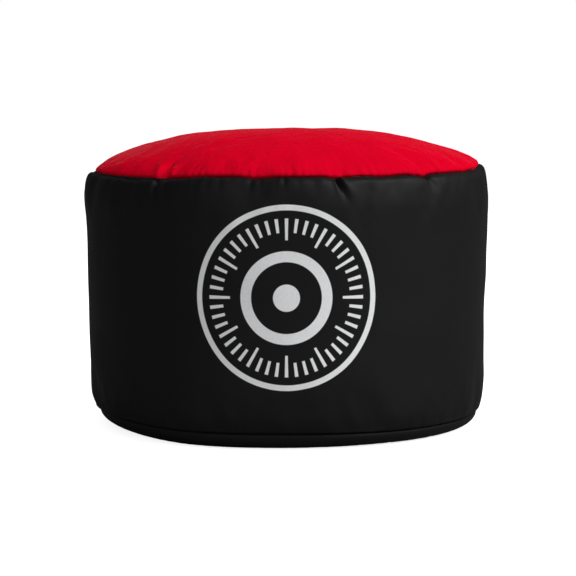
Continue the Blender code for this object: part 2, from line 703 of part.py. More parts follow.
def main():
    """Builds every piece."""
    clear_scene()
    red_cloth = finish("red_cloth", (0.70, 0.004, 0.02), 0.62)
    black_cloth = finish("black_cloth", (0.012, 0.012, 0.013), 0.60)
    tape = finish("black_tape", (0.015, 0.015, 0.016), 0.75)
    loop_pile = finish("loop_pile", (0.02, 0.02, 0.021), 0.95)
    hook_pile = finish("hook_pile", (0.018, 0.018, 0.019), 0.55)
    teeth = finish("zip_teeth", (0.02, 0.02, 0.021), 0.35)
    metal = finish("zip_metal", (0.30, 0.30, 0.31), 0.32, 1.0)
    film = finish("liner_film", (0.55, 0.57, 0.58), 0.40)
    plastic = finish("tie_plastic", (0.03, 0.03, 0.03), 0.45)
    sand = finish("dry_sand", (0.50, 0.38, 0.24), 0.95)

    make_top_panel(red_cloth)
    make_side_panel(black_cloth)
    make_base_half("bottom_panel_front", black_cloth, -1)
    make_base_half("bottom_panel_rear", black_cloth, 1)
    make_ring_binding("top_seam_binding", tape, HEAD_LIP_RADIUS, TOP_SEAM_Z - SEAM_ALLOWANCE, 1)
    make_ring_binding("bottom_seam_binding", tape, FOOT_LIP_RADIUS, BASE_SEAM_Z + SEAM_ALLOWANCE, -1)
    make_back_seam_binding(tape)
    make_zip_row("zip_teeth_front", "zip_tape_front", teeth, tape, -1)
    make_zip_row("zip_teeth_rear", "zip_tape_rear", teeth, tape, 1)
    make_zip_stops(metal)
    carriage = make_slider(metal)
    make_pull_tab(metal, carriage)
    make_flap(black_cloth, loop_pile, hook_pile)
    make_liner(film)
    make_sand(sand)
    tie_x = make_neck(film)
    make_tie(plastic, tie_x)


main()
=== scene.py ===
"""Looks of the round sandbag trainer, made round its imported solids.

The sewn skin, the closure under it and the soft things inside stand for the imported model's plain solids.
Hard pieces keep their solids and get soft edges and a finish. Units are metres, the bag stands on z = 0, the
camera looks along +Y and angles round the bag are counted from its front towards +X.
"""

import logging
import math
from dataclasses import dataclass, field
from enum import Enum
from typing import Any, ClassVar, Protocol, Sequence

import bmesh
import bpy
import numpy as np
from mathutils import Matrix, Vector


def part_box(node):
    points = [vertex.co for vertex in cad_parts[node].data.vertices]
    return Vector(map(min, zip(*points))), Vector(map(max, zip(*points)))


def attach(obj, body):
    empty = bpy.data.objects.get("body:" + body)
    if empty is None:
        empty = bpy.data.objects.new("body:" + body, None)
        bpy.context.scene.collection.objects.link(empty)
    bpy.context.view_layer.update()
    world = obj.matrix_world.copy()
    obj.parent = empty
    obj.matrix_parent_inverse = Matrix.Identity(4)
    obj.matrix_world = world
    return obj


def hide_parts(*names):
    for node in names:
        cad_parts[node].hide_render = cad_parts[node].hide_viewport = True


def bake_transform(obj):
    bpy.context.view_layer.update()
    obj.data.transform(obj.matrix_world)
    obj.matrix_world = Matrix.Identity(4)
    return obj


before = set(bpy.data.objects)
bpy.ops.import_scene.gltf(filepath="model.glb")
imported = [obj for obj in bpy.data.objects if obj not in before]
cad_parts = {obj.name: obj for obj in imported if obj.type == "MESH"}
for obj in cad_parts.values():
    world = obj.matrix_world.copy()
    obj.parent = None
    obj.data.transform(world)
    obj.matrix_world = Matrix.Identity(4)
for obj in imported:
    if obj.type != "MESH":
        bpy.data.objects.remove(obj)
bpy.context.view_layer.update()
log = logging.getLogger("sandbag")

Array = np.ndarray
Mesh = bpy.types.Mesh
Material = bpy.types.Material
Colour = tuple[float, float, float]
CLOTH_MAP = "cloth"
SAME_PLACE = 1e-5
SPECK = 1e-9
TINY = 1e-12
BLACK: Colour = (0.0052, 0.0052, 0.0054)
CHARCOAL: Colour = (0.012, 0.012, 0.0125)
WHITE: Colour = (1.0, 1.0, 1.0)


class Body(Enum):
    """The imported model's bodies that carry the pieces made here."""

    ROOT = "root"
    FLAP = "flap"


class Weave(Enum):
    """How the yarns of a cloth cross."""

    PLAIN = "plain"
    HERRINGBONE = "herringbone"


# Shader maths


class Signal:
    """A shader socket that can be used in sums like a number."""

    def __init__(self, graph: "Graph", socket: bpy.types.NodeSocket) -> None:
        """Wraps a socket of a graph."""
        self.graph = graph
        self.socket = socket

    def join(self, operation: str, other: "Signal | float", swapped: bool = False) -> "Signal":
        """Adds a Math node, or a Vector Math node where either side is a vector.

        Args:
            operation: the node's operation.
            other: the second operand.
            swapped: True where the other comes first.

        Returns:
            The node's result.
        """
        sides = (other, self) if swapped else (self, other)
        vector = any(isinstance(side, Signal) and side.socket.type in ("VECTOR", "RGBA") for side in sides)
        kind = "VectorMath" if vector else "Math"
        return self.graph.node(kind, {"operation": operation}, {0: sides[0], 1: sides[1]})

    def __add__(self, other: "Signal | float") -> "Signal":
        """Sum."""
        return self.join("ADD", other)

    def __radd__(self, other: float) -> "Signal":
        """Sum with a number first."""
        return self.join("ADD", other, swapped=True)

    def __sub__(self, other: "Signal | float") -> "Signal":
        """Difference."""
        return self.join("SUBTRACT", other)

    def __rsub__(self, other: float) -> "Signal":
        """Difference with a number first."""
        return self.join("SUBTRACT", other, swapped=True)

    def __mul__(self, other: "Signal | float") -> "Signal":
        """Product."""
        return self.join("MULTIPLY", other)

    def __rmul__(self, other: float) -> "Signal":
        """Product with a number first."""
        return self.join("MULTIPLY", other, swapped=True)

    def maths(self, operation: str, other: "Signal | float" = 0.0) -> "Signal":
        """Any other Math operation, such as SINE or MAXIMUM, on this value."""
        return self.graph.node("Math", {"operation": operation}, {0: self, 1: other})

    def ramp(self, low: float, high: float) -> "Signal":
        """A smooth step from 0 at low to 1 at high, either way round.

        Args:
            low: where the step starts.
            high: where it ends.

        Returns:
            The step.
        """
        ends = {"From Min": min(low, high), "From Max": max(low, high)}
        step = self.graph.node("MapRange", {"interpolation_type": "SMOOTHSTEP"}, {"Value": self, **ends})
        return step if low < high else 1 - step


class Graph:
    """The nodes of one material or world."""

    def __init__(self, owner: Material | bpy.types.World) -> None:
        """Starts with an empty tree."""
        self.owner = owner
        owner.use_nodes = True
        self.tree = owner.node_tree
        self.tree.nodes.clear()

    @classmethod
    def of_material(cls, name: str) -> "Graph":
        """Starts a new material."""
        return cls(bpy.data.materials.new(name))

    def feed(self, socket: bpy.types.NodeSocket, value: Any) -> None:
        """Links a signal to a socket, or sets its value."""
        if isinstance(value, Signal):
            self.tree.links.new(value.socket, socket)
        elif socket.type == "VECTOR" and isinstance(value, (int, float)):
            socket.default_value = (value,) * 3
        elif socket.type == "RGBA" and len(value) == 3:
            socket.default_value = (*value, 1)
        else:
            socket.default_value = value

    def node(
        self, kind: str, settings: dict | None = None, values: dict | None = None, output: int | str = 0
    ) -> Signal:
        """Adds a node of any kind.

        Args:
            kind: the node's type without its ShaderNode prefix.
            settings: attributes to set first.
            values: numbers, colours or signals for its sockets, by name or index.
            output: the output that is wanted.

        Returns:
            The signal of that output.
        """
        made = self.tree.nodes.new("ShaderNode" + kind)
        for key, value in (settings or {}).items():
            setattr(made, key, value)
        for key, value in (values or {}).items():
            self.feed(made.inputs[key], value)
        return Signal(self, made.outputs[output])

    def mix(self, share: Signal | float, first: Any, second: Any) -> Signal:
        """A colour between two.

        Args:
            share: 0 for the first, 1 for the second.
            first: a colour or signal.
            second: a colour or signal.

        Returns:
            The mixed colour.
        """
        return self.node("Mix", {"data_type": "RGBA"}, {0: share, 6: first, 7: second}, 2)

    def noise(self, place: Signal, scale: float, detail: float = 2.0) -> Signal:
        """Noise from 0 to 1 at a place, with scale cells to the metre."""
        return self.node("TexNoise", None, {"Vector": place, "Scale": scale, "Detail": detail})

    def parts(self, place: Signal) -> tuple[Signal, Signal, Signal]:
        """The three coordinates of a place."""
        split = self.node("SeparateXYZ", None, {0: place})
        outputs = split.socket.node.outputs
        return tuple(Signal(self, outputs[axis]) for axis in range(3))

    def joined(self, x: Signal | float, y: Signal | float, z: Signal | float = 0.0) -> Signal:
        """A place from its coordinates."""
        return self.node("CombineXYZ", None, {0: x, 1: y, 2: z})

    def place(self) -> Signal:
        """The place on the object, in metres."""
        return self.node("TexCoord", None, None, "Object")

    def ray(self, kind: str) -> Signal:
        """1 for rays of a kind, such as Camera or Shadow, and 0 for the rest."""
        return self.node("LightPath", None, None, f"Is {kind} Ray")

    def bump(self, height: Signal, distance: float, over: Signal | None = None) -> Signal:
        """A normal from a height of 0 to 1 that stands for the distance, laid over another normal if any."""
        values = {"Height": height, "Distance": distance}
        return self.node("Bump", None, {**values, "Normal": over} if over else values)

    def surface(self, values: dict) -> Material:
        """Ends the material in a Principled shader with these values."""
        return self.end(self.node("BsdfPrincipled", None, values))

    def end(self, shader: Signal, kind: str = "OutputMaterial") -> Any:
        """Links a shader to the output and gives back what the tree belongs to."""
        output = self.tree.nodes.new("ShaderNode" + kind)
        self.tree.links.new(shader.socket, output.inputs["Surface"])
        return self.owner


def toned(colour: Colour, share: float, lift: float = 0.0) -> Colour:
    """A colour made darker or lighter, and no lighter than white."""
    return tuple(min(1, channel * share + lift) for channel in colour)


class Finish(Protocol):
    """What every finish has: a name and a way to build its material."""

    name: str

    def build(self) -> Material:
        """Builds the material."""


@dataclass(frozen=True)
class Dial:
    """A plain printed dial, in ink on the front of the wall: two rings, a circle of ticks and a hub."""

    height: float = 0.142
    outer_radius: float = 0.0830
    outer_half: float = 0.0026
    tick_start: float = 0.0600
    tick_long_start: float = 0.0530
    tick_end: float = 0.0730
    ticks: int = 48
    long_every: int = 4
    tick_share: float = 0.17
    tick_edge_share: float = 0.03
    inner_radius: float = 0.0380
    inner_half: float = 0.0050
    hub_radius: float = 0.0125
    edge: float = 0.00035
    ink: Colour = (0.90, 0.91, 0.92)
    patch_scale: float = 300.0
    patch_share: float = 0.86
    wear_scale: float = 2600.0
    wear_yarn_share: float = 0.4
    worn_below: float = 0.16
    whole_above: float = 0.36
    smoother: float = 0.14
    ink_share: float = 0.5

    def band(self, place: Signal, middle: float, half: float) -> Signal:
        """1 within half of a middle place and 0 beyond it."""
        return (place - middle).maths("ABSOLUTE").ramp(half + self.edge, half - self.edge)

    def ticked(self, turn: Signal, radius: Signal, count: int, start: float) -> Signal:
        """A circle of ticks.

        Args:
            turn: the place round the dial, in whole turns.
            radius: the distance from its centre.
            count: how many ticks.
            start: where they start.

        Returns:
            1 on the ticks and 0 beside them.
        """
        off = ((turn * count + 0.5).maths("FRACT") - 0.5).maths("ABSOLUTE")
        share = self.tick_share * count / self.ticks
        soft = self.tick_edge_share * count / self.ticks
        across = off.ramp(share + soft, share - soft)
        return across * self.band(radius, (self.tick_end + start) / 2, (self.tick_end - start) / 2)

    def mask(self, across: Signal, up: Signal) -> Signal:
        """Where the ink lies.

        Args:
            across: distance round the wall from its front.
            up: height above the floor.

        Returns:
            1 on ink and 0 beside it.
        """
        rise = up - self.height
        radius = (across * across + rise * rise).maths("SQRT")
        shape = radius.ramp(self.hub_radius + self.edge, self.hub_radius - self.edge)
        for middle, half in ((self.outer_radius, self.outer_half), (self.inner_radius, self.inner_half)):
            shape = shape.maths("MAXIMUM", self.band(radius, middle, half))
        turn = rise.maths("ARCTAN2", across) * (1 / math.tau)
        short = self.ticked(turn, radius, self.ticks, self.tick_start)
        long = self.ticked(turn, radius, self.ticks // self.long_every, self.tick_long_start)
        return shape.maths("MAXIMUM", short).maths("MAXIMUM", long)

    def printed(self, graph: Graph, place: Signal, yarn: Signal, cloth: dict) -> dict[str, Signal]:
        """Prints the dial on a cloth, worn off its highest yarns.

        Args:
            graph: the material's nodes.
            place: where on the flat cloth.
            yarn: the yarns' height there.
            cloth: the bare cloth's colour, rough and height.

        Returns:
            The printed cloth's colour, rough and height.
        """
        across, up, _ = graph.parts(place)
        grain = graph.noise(place, self.wear_scale, 2)
        wear = grain * (1 - self.wear_yarn_share) + yarn * self.wear_yarn_share
        ink = self.mask(across, up) * wear.ramp(self.worn_below, self.whole_above)
        patch = graph.noise(place, self.patch_scale, 3)
        pale = graph.mix(patch, toned(self.ink, self.patch_share), self.ink)
        return {
            "colour": graph.mix(ink, cloth["colour"], pale),
            "rough": cloth["rough"] - ink * self.smoother,
            "height": cloth["height"] + ink * self.ink_share,
        }


@dataclass(frozen=True)
class Cloth:
    """Woven nylon, plain or printed, with painted shade darkening it between its yarns."""

    name: str
    colour: Colour
    pitch: float = 0.0008
    weave: Weave = Weave.PLAIN
    relief: float = 0.00005
    crinkle: float = 0.0
    crinkle_scale: float = 190.0
    roughness: float = 0.60
    roughness_spread: float = 0.10
    shine: float = 0.20
    sheen: float = 0.0
    sheen_roughness: float = 0.15
    dial: Dial | None = None
    tone_scale: float = 22.0
    slub_along: float = 60.0
    slub_across: float = 900.0
    slub_share: float = 0.25
    # share of the colour that follows the yarns' height: painted shade of the weave
    painted_weave_shade_share: float = 0.25
    darkest: float = 0.82
    lightest: float = 1.16
    herringbone_pitches: float = 8.0

    def yarns(self, along: Signal, across: Signal) -> Signal:
        """The height of the yarns at a place on the flat cloth, from 0 to 1.

        Args:
            along: the place along the warp.
            across: the place across it.

        Returns:
            The height.
        """
        if self.weave is Weave.HERRINGBONE:
            width = self.herringbone_pitches * self.pitch
            fold = (across * (1 / width)).maths("PINGPONG", 0.5) * width
            slant = (along + fold) * (math.pi / self.pitch)
            return slant.maths("SINE").maths("ABSOLUTE")
        warp = (along * (math.pi / self.pitch)).maths("SINE")
        weft = (across * (math.pi / self.pitch)).maths("SINE")
        both = warp * weft
        over = warp.maths("ABSOLUTE") + both
        under = weft.maths("ABSOLUTE") - both
        return over.maths("MAXIMUM", under) * 0.5

    def build(self) -> Material:
        """Builds the material."""
        graph = Graph.of_material(self.name)
        place = graph.node("UVMap", {"uv_map": CLOTH_MAP})
        along, across, _ = graph.parts(place)
        yarn = self.yarns(along, across)
        tone = graph.noise(place, self.tone_scale, 3)
        slub = graph.noise(graph.joined(along * self.slub_across, across * self.slub_along), 1.0, 1)
        slub = slub + graph.noise(graph.joined(along * self.slub_along, across * self.slub_across), 1.0, 1)
        # Random tone and slubs are the cloth's own colour; the yarns' height adds painted shade, darker
        # between the yarns and lighter on their tops.
        tone_share = 1 - self.slub_share - self.painted_weave_shade_share
        tone_and_painted_weave_shade = tone * tone_share + slub * self.slub_share + yarn * self.painted_weave_shade_share
        look = {
            "colour": graph.mix(tone_and_painted_weave_shade, toned(self.colour, self.darkest), toned(self.colour, self.lightest)),
            "rough": tone * self.roughness_spread + (self.roughness - self.roughness_spread / 2),
            "height": yarn + slub * self.slub_share,
        }
        if self.dial:
            look = self.dial.printed(graph, place, yarn, look)
        normal = graph.bump(look["height"], self.relief)
        if self.crinkle:
            normal = graph.bump(graph.noise(place, self.crinkle_scale, 4), self.crinkle, normal)
        return graph.surface(
            {
                "Base Color": look["colour"],
                "Roughness": look["rough"],
                "Normal": normal,
                "Specular IOR Level": self.shine,
                "Sheen Weight": self.sheen,
                "Sheen Roughness": self.sheen_roughness,
            }
        )


@dataclass(frozen=True)
class Moulded:
    """Moulded or extruded plastic with a fine grain and rubbed places."""

    name: str
    colour: Colour
    roughness: float = 0.4
    grain: float = 900.0
    relief: float = 0.00002
    shine: float = 0.4
    rub_scale: float = 60.0
    rubbed: float = 1.35
    rubbed_lift: float = 0.004
    rub_rough: float = 0.16
    grain_rough: float = 0.06
    smoothest: float = -0.1

    def build(self) -> Material:
        """Builds the material."""
        graph = Graph.of_material(self.name)
        place = graph.place()
        fine = graph.noise(place, self.grain, 2)
        rubs = graph.noise(place, self.rub_scale, 3)
        colour = graph.mix(rubs, self.colour, toned(self.colour, self.rubbed, self.rubbed_lift))
        rough = rubs * self.rub_rough + fine * self.grain_rough + (self.roughness + self.smoothest)
        values = {"Base Color": colour, "Roughness": rough, "Normal": graph.bump(fine, self.relief)}
        return graph.surface({**values, "Specular IOR Level": self.shine})


@dataclass(frozen=True)
class Metal:
    """Plated die-cast metal, with fine scratches along X and duller, worn patches."""

    name: str
    colour: Colour
    roughness: float = 0.3
    relief: float = 0.00003
    scratch_scale: float = 5200.0
    scratch_stretch: float = 0.06
    worn_scale: float = 320.0
    dullest: float = 0.55
    scratch_rough: float = 0.22
    worn_rough: float = 0.18
    smoothest: float = -0.2
    worn_share: float = 0.4

    def build(self) -> Material:
        """Builds the material."""
        graph = Graph.of_material(self.name)
        place = graph.place()
        x, y, z = graph.parts(place)
        scratch = graph.noise(graph.joined(x * self.scratch_stretch, y, z), self.scratch_scale, 3)
        worn = graph.noise(place, self.worn_scale, 4)
        colour = graph.mix(worn, toned(self.colour, self.dullest), self.colour)
        rough = scratch * self.scratch_rough + worn * self.worn_rough + (self.roughness + self.smoothest)
        height = scratch * (1 - self.worn_share) + worn * self.worn_share
        values = {"Base Color": colour, "Roughness": rough, "Normal": graph.bump(height, self.relief)}
        return graph.surface({**values, "Metallic": 1.0})


@dataclass(frozen=True)
class Grains:
    """Dry sand: small grains of mixed tones."""

    name: str
    pale: Colour
    dark: Colour
    scale: float = 1400.0
    relief: float = 0.0004
    drift_scale: float = 30.0
    drift_share: float = 0.3
    roughness: float = 0.86
    roughness_spread: float = 0.1
    shine: float = 0.25

    def build(self) -> Material:
        """Builds the material."""
        graph = Graph.of_material(self.name)
        place = graph.place()
        cells = graph.node("TexVoronoi", None, {"Vector": place, "Scale": self.scale}, "Distance")
        tint = graph.noise(place, self.scale, 1)
        drift = graph.noise(place, self.drift_scale, 3)
        share = tint * (1 - self.drift_share) + drift * self.drift_share
        rough = drift * self.roughness_spread + self.roughness
        colour = graph.mix(share, self.dark, self.pale)
        values = {"Base Color": colour, "Roughness": rough, "Normal": graph.bump(cells, self.relief)}
        return graph.surface({**values, "Specular IOR Level": self.shine})


@dataclass(frozen=True)
class Film:
    """Thin milky plastic film with crinkles."""

    name: str
    colour: Colour
    relief: float = 0.003
    crinkle_scale: float = 45.0
    cloud_scale: float = 12.0
    darkest: float = 0.85
    roughness: float = 0.22
    roughness_spread: float = 0.2
    shine: float = 0.5

    def build(self) -> Material:
        """Builds the material."""
        graph = Graph.of_material(self.name)
        place = graph.place()
        creased = graph.noise(place, self.crinkle_scale, 5)
        cloudy = graph.noise(place, self.cloud_scale, 2)
        colour = graph.mix(cloudy, toned(self.colour, self.darkest), self.colour)
        rough = creased * self.roughness_spread + self.roughness
        values = {"Base Color": colour, "Roughness": rough, "Normal": graph.bump(creased, self.relief)}
        return graph.surface({**values, "Specular IOR Level": self.shine})


# Curves, grids and noise


class Ripple:
    """Smooth noise in space, from about -1 to 1, made of waves in seeded directions."""

    shortest = 0.7
    longest = 1.5
    strength = 1.2
    valley = 0.6

    def __init__(self, wavelength: float, seed: int, waves: int = 14) -> None:
        """Draws the waves."""
        rng = np.random.default_rng(seed)
        ways = rng.normal(size=(waves, 3))
        ways /= np.linalg.norm(ways, axis=1)[:, None]
        lengths = wavelength * rng.uniform(self.shortest, self.longest, waves)
        self.ways = ways * (math.tau / lengths)[:, None]
        self.phases = rng.uniform(0, math.tau, waves)
        self.scale = self.strength / math.sqrt(waves)

    def at(self, points: Array) -> Array:
        """The noise at points, whose last axis is x, y, z."""
        return np.sin(points @ self.ways.T + self.phases).sum(axis=-1) * self.scale

    def ridged(self, points: Array) -> Array:
        """The same with sharp valleys where it passes through zero."""
        return np.minimum(np.abs(self.at(points)) * 2, 1) - self.valley


def eased(path: Sequence[tuple[float, float]], rounds: int = 3, cut: float = 0.25) -> Array:
    """Rounds a path by cutting its corners again and again. Its ends stay.

    Args:
        path: points of radius and height.
        rounds: how often the corners are cut.
        cut: the share of each side that a cut takes.

    Returns:
        The rounded path's points.
    """
    points = np.array(path, float)
    for _ in range(rounds):
        near = points[:-1] * (1 - cut) + points[1:] * cut
        far = points[:-1] * cut + points[1:] * (1 - cut)
        middle = np.stack([near, far], 1).reshape(-1, points.shape[1])
        points = np.vstack([points[:1], middle[1:-1], points[-1:]])
    return points


def lengths_along(path: Array) -> Array:
    """The distance of each point along its path."""
    return np.concatenate([[0], np.cumsum(np.linalg.norm(np.diff(path, axis=0), axis=1))])


def walk(path: Array, places: Array) -> Array:
    """Points of a path at distances along it."""
    along = lengths_along(path)
    return np.stack([np.interp(places, along, path[:, axis]) for axis in range(path.shape[1])], -1)


def hump(off: Array, width: float | Array) -> Array:
    """A smooth rise that is 1 where an offset is zero and fades over its width."""
    return np.exp(-((off / width) ** 2))


def turned(path: Array, phi: Array) -> Array:
    """The points of a path of radius and height, turned to each angle round the bag."""
    level = np.repeat(path[:, 1:], len(phi), 1)
    return np.stack([path[:, :1] * np.sin(phi), -path[:, :1] * np.cos(phi), level], -1)


def directions(path: Array) -> Array:
    """The unit direction of a path at each of its points."""
    slope = np.gradient(path, axis=0)
    return slope / (np.linalg.norm(slope, axis=1)[:, None] + TINY)


@dataclass(frozen=True)
class Spacing:
    """How far apart places lie: the least at a mark, and more with each metre from it, up to the most."""

    least: float
    most: float
    growth: float

    def over(self, length: float, marks: Sequence[float] = ()) -> Array:
        """Places along a length that lie closer together near its marks.

        Args:
            length: the whole length.
            marks: where the places are closest, or nothing for both ends.

        Returns:
            The places, from 0 to the length.
        """
        places = [0.0]
        while places[-1] < length:
            gap = min(abs(places[-1] - mark) for mark in marks or (0.0, length))
            places.append(places[-1] + min(self.most, self.least + self.growth * gap))
        found = np.array(places)
        return found * (length / found[-1])


def mesh_from(name: str, points: Array, faces: list, cloth: Array) -> Mesh:
    """A smooth mesh with cloth coordinates for each corner of each face.

    Args:
        name: the mesh's name.
        points: its vertices.
        faces: vertex numbers of each face.
        cloth: the two cloth coordinates of each face corner, in metres.

    Returns:
        The mesh.
    """
    mesh = bpy.data.meshes.new(name)
    mesh.from_pydata(points.tolist(), [], faces)
    layer = mesh.uv_layers.new(name=CLOTH_MAP)
    layer.data.foreach_set("uv", np.asarray(cloth, np.float32).ravel())
    mesh.shade_smooth()
    mesh.update()
    return mesh


def grid_mesh(
    name: str, points: Array, cloth: Array, closed: bool = False, flip: bool = False
) -> Mesh:
    """A mesh of rows and columns of points.

    Args:
        name: the mesh's name.
        points: rows by columns by 3. Where it is closed, the last column repeats the first.
        cloth: rows by columns by 2.
        closed: True where the columns go all the way round.
        flip: True to turn the faces over.

    Returns:
        The mesh.
    """
    rows, columns = points.shape[:2]
    width = columns - 1 if closed else columns
    row, column = np.meshgrid(np.arange(rows - 1), np.arange(columns - 1), indexing="ij")
    corners = [(row, column), (row, column + 1), (row + 1, column + 1), (row + 1, column)]
    if flip:
        corners.reverse()
    faces = np.stack([r * width + c % width for r, c in corners], -1).reshape(-1, 4)
    at_corners = np.stack([cloth[r, c] for r, c in corners], 2).reshape(-1, 2)
    return mesh_from(name, points[:, :width].reshape(-1, 3), faces.tolist(), at_corners)


def disc_mesh(name: str, points: Array, strides: Sequence[int]) -> Mesh:
    """A disc of rings that lose every other point towards its middle.

    Args:
        name: the mesh's name.
        points: rings by columns by 3, from the edge in. The last ring is the middle, one point repeated.
        strides: how many columns each ring takes in one step, for all but the last ring.

    Returns:
        The mesh.
    """
    kept, faces, rings = [], [], []
    for ring, stride in zip(points[:-1], strides):
        rings.append(np.arange(len(ring) // stride) + len(kept))
        kept.extend(ring[::stride])
    middle = len(kept)
    kept.append(points[-1][0])
    for outer, inner in zip(rings, rings[1:]):
        count = len(inner)
        after = np.roll(inner, -1)
        if len(outer) == count:
            faces += np.stack([outer, np.roll(outer, -1), after, inner], -1).tolist()
            continue
        first, half, second = outer[0::2], outer[1::2], np.roll(outer[0::2], -1)
        faces += np.stack([first, half, inner], -1).tolist()
        faces += np.stack([half, second, after, inner], -1).tolist()
    last = rings[-1]
    faces += [[a, b, middle] for a, b in zip(last.tolist(), np.roll(last, -1).tolist())]
    spots = np.array(kept)
    return mesh_from(name, spots, faces, spots[np.concatenate([np.array(face) for face in faces]), :2])


def strand_mesh(name: str, paths: Array, radii: Sequence[float], sides: int = 6) -> Mesh:
    """Many short closed strands in one mesh.

    Args:
        name: the mesh's name.
        paths: strands by points by 3.
        radii: the strand's radius at each of its points.
        sides: how many sides a strand has.

    Returns:
        The mesh.
    """
    count, steps = paths.shape[:2]
    along = np.gradient(paths, axis=1)
    along /= np.linalg.norm(along, axis=2)[..., None] + TINY
    spread = paths[:, -1] - paths[:, 0] + SPECK
    bulge = paths[:, steps // 2] - (paths[:, -1] + paths[:, 0]) / 2
    side = np.cross(spread, bulge + SPECK * np.array([100, 200, 300]))
    side /= np.linalg.norm(side, axis=1)[:, None] + TINY
    across = np.cross(along, side[:, None, :])
    turns = np.arange(sides) * (math.tau / sides)
    wheel = np.cos(turns)[:, None] * across[:, :, None, :] + np.sin(turns)[:, None] * side[:, None, None, :]
    rings = paths[:, :, None, :] + wheel * np.array(radii)[None, :, None, None]
    ring, turn = np.meshgrid(np.arange(steps - 1), np.arange(sides), indexing="ij")
    after = (turn + 1) % sides
    low, high = ring * sides, (ring + 1) * sides
    quads = np.stack([low + turn, high + turn, high + after, low + after], -1).reshape(-1, 4)
    starts = np.arange(count) * steps * sides
    faces = (quads[None] + starts[:, None, None]).reshape(-1, 4).tolist()
    caps = np.stack([np.arange(sides), np.arange(sides)[::-1] + (steps - 1) * sides])
    faces += (caps[None] + starts[:, None, None]).reshape(-1, sides).tolist()
    vertices = rings.reshape(-1, 3)
    picks = np.concatenate([np.array(face) for face in faces])
    return mesh_from(name, vertices, faces, vertices[picks, :2])


def placed(name: str, data: bpy.types.ID) -> bpy.types.Object:
    """A new object in the scene."""
    item = bpy.data.objects.new(name, data)
    bpy.context.scene.collection.objects.link(item)
    return item


@dataclass
class Workshop:
    """Keeps each finish once and hangs pieces on their bodies."""

    made: dict[str, Material] = field(default_factory=dict)
    rounded_from: float = 32.0

    def paint(self, finish: Finish) -> Material:
        """The material of a finish, built once."""
        if finish.name not in self.made:
            self.made[finish.name] = finish.build()
        return self.made[finish.name]

    def piece(
        self,
        mesh: Mesh,
        finish: Finish,
        slot: str,
        body: Body | None,
        stands_for: Sequence[str] = (),
    ) -> bpy.types.Object:
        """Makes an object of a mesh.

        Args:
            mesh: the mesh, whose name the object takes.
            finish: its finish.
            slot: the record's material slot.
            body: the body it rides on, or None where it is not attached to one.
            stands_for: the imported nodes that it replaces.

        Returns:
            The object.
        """
        item = placed(mesh.name, mesh)
        mesh.materials.clear()
        mesh.materials.append(self.paint(finish))
        if body is not None:
            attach(item, body.value)
        if stands_for:
            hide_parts(*stands_for)
        log.info("%s: %d faces", mesh.name, len(mesh.polygons))
        return item

    def dress(self, node: str, finish: Finish, edge: float) -> None:
        """Gives a packed hard piece its finish and soft edges.

        Args:
            node: the node's name.
            finish: its finish.
            edge: the width of its rounded edges.
        """
        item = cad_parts[node]
        item.data.materials.clear()
        item.data.materials.append(self.paint(finish))
        weld = item.modifiers.new("joined corners", "WELD")
        weld.merge_threshold = SAME_PLACE
        soft = item.modifiers.new("soft edges", "BEVEL")
        soft.width = edge
        soft.segments = 2
        soft.limit_method = "ANGLE"
        soft.angle_limit = math.radians(self.rounded_from)
        soft.harden_normals = True
        log.info("%s: dressed", node)


# The sewn skin


@dataclass
class Wrinkles:
    """Heights of wrinkles beside the top seam, in rows that lie below it (minus) and above it (plus)."""

    heights: Array
    offsets: Array
    reach: float = 0.080

    def at(self, phi: Array, places: Array) -> Array:
        """The wrinkles between their own rows and columns.

        Args:
            phi: the wanted columns' angles.
            places: the wanted rows' offsets from the seam.

        Returns:
            Rows by columns of heights.
        """
        waves = np.fft.rfft(self.heights, axis=1) * (2 / self.heights.shape[1])
        turns = np.exp(1j * np.arange(waves.shape[1])[:, None] * phi[None, :])
        fine = np.real(waves @ turns)
        slopes = np.gradient(fine, self.offsets, axis=0)
        first = np.clip(np.searchsorted(self.offsets, places) - 1, 0, len(self.offsets) - 2)
        step = (self.offsets[first + 1] - self.offsets[first])[:, None]
        u = np.clip((places - self.offsets[first])[:, None] / step, 0, 1)
        near = (1 + 2 * u) * (1 - u) ** 2 * fine[first] + u * (1 - u) ** 2 * step * slopes[first]
        far = u**2 * (3 - 2 * u) * fine[first + 1] + u**2 * (u - 1) * step * slopes[first + 1]
        return (near + far) * hump(places, self.reach)[:, None]


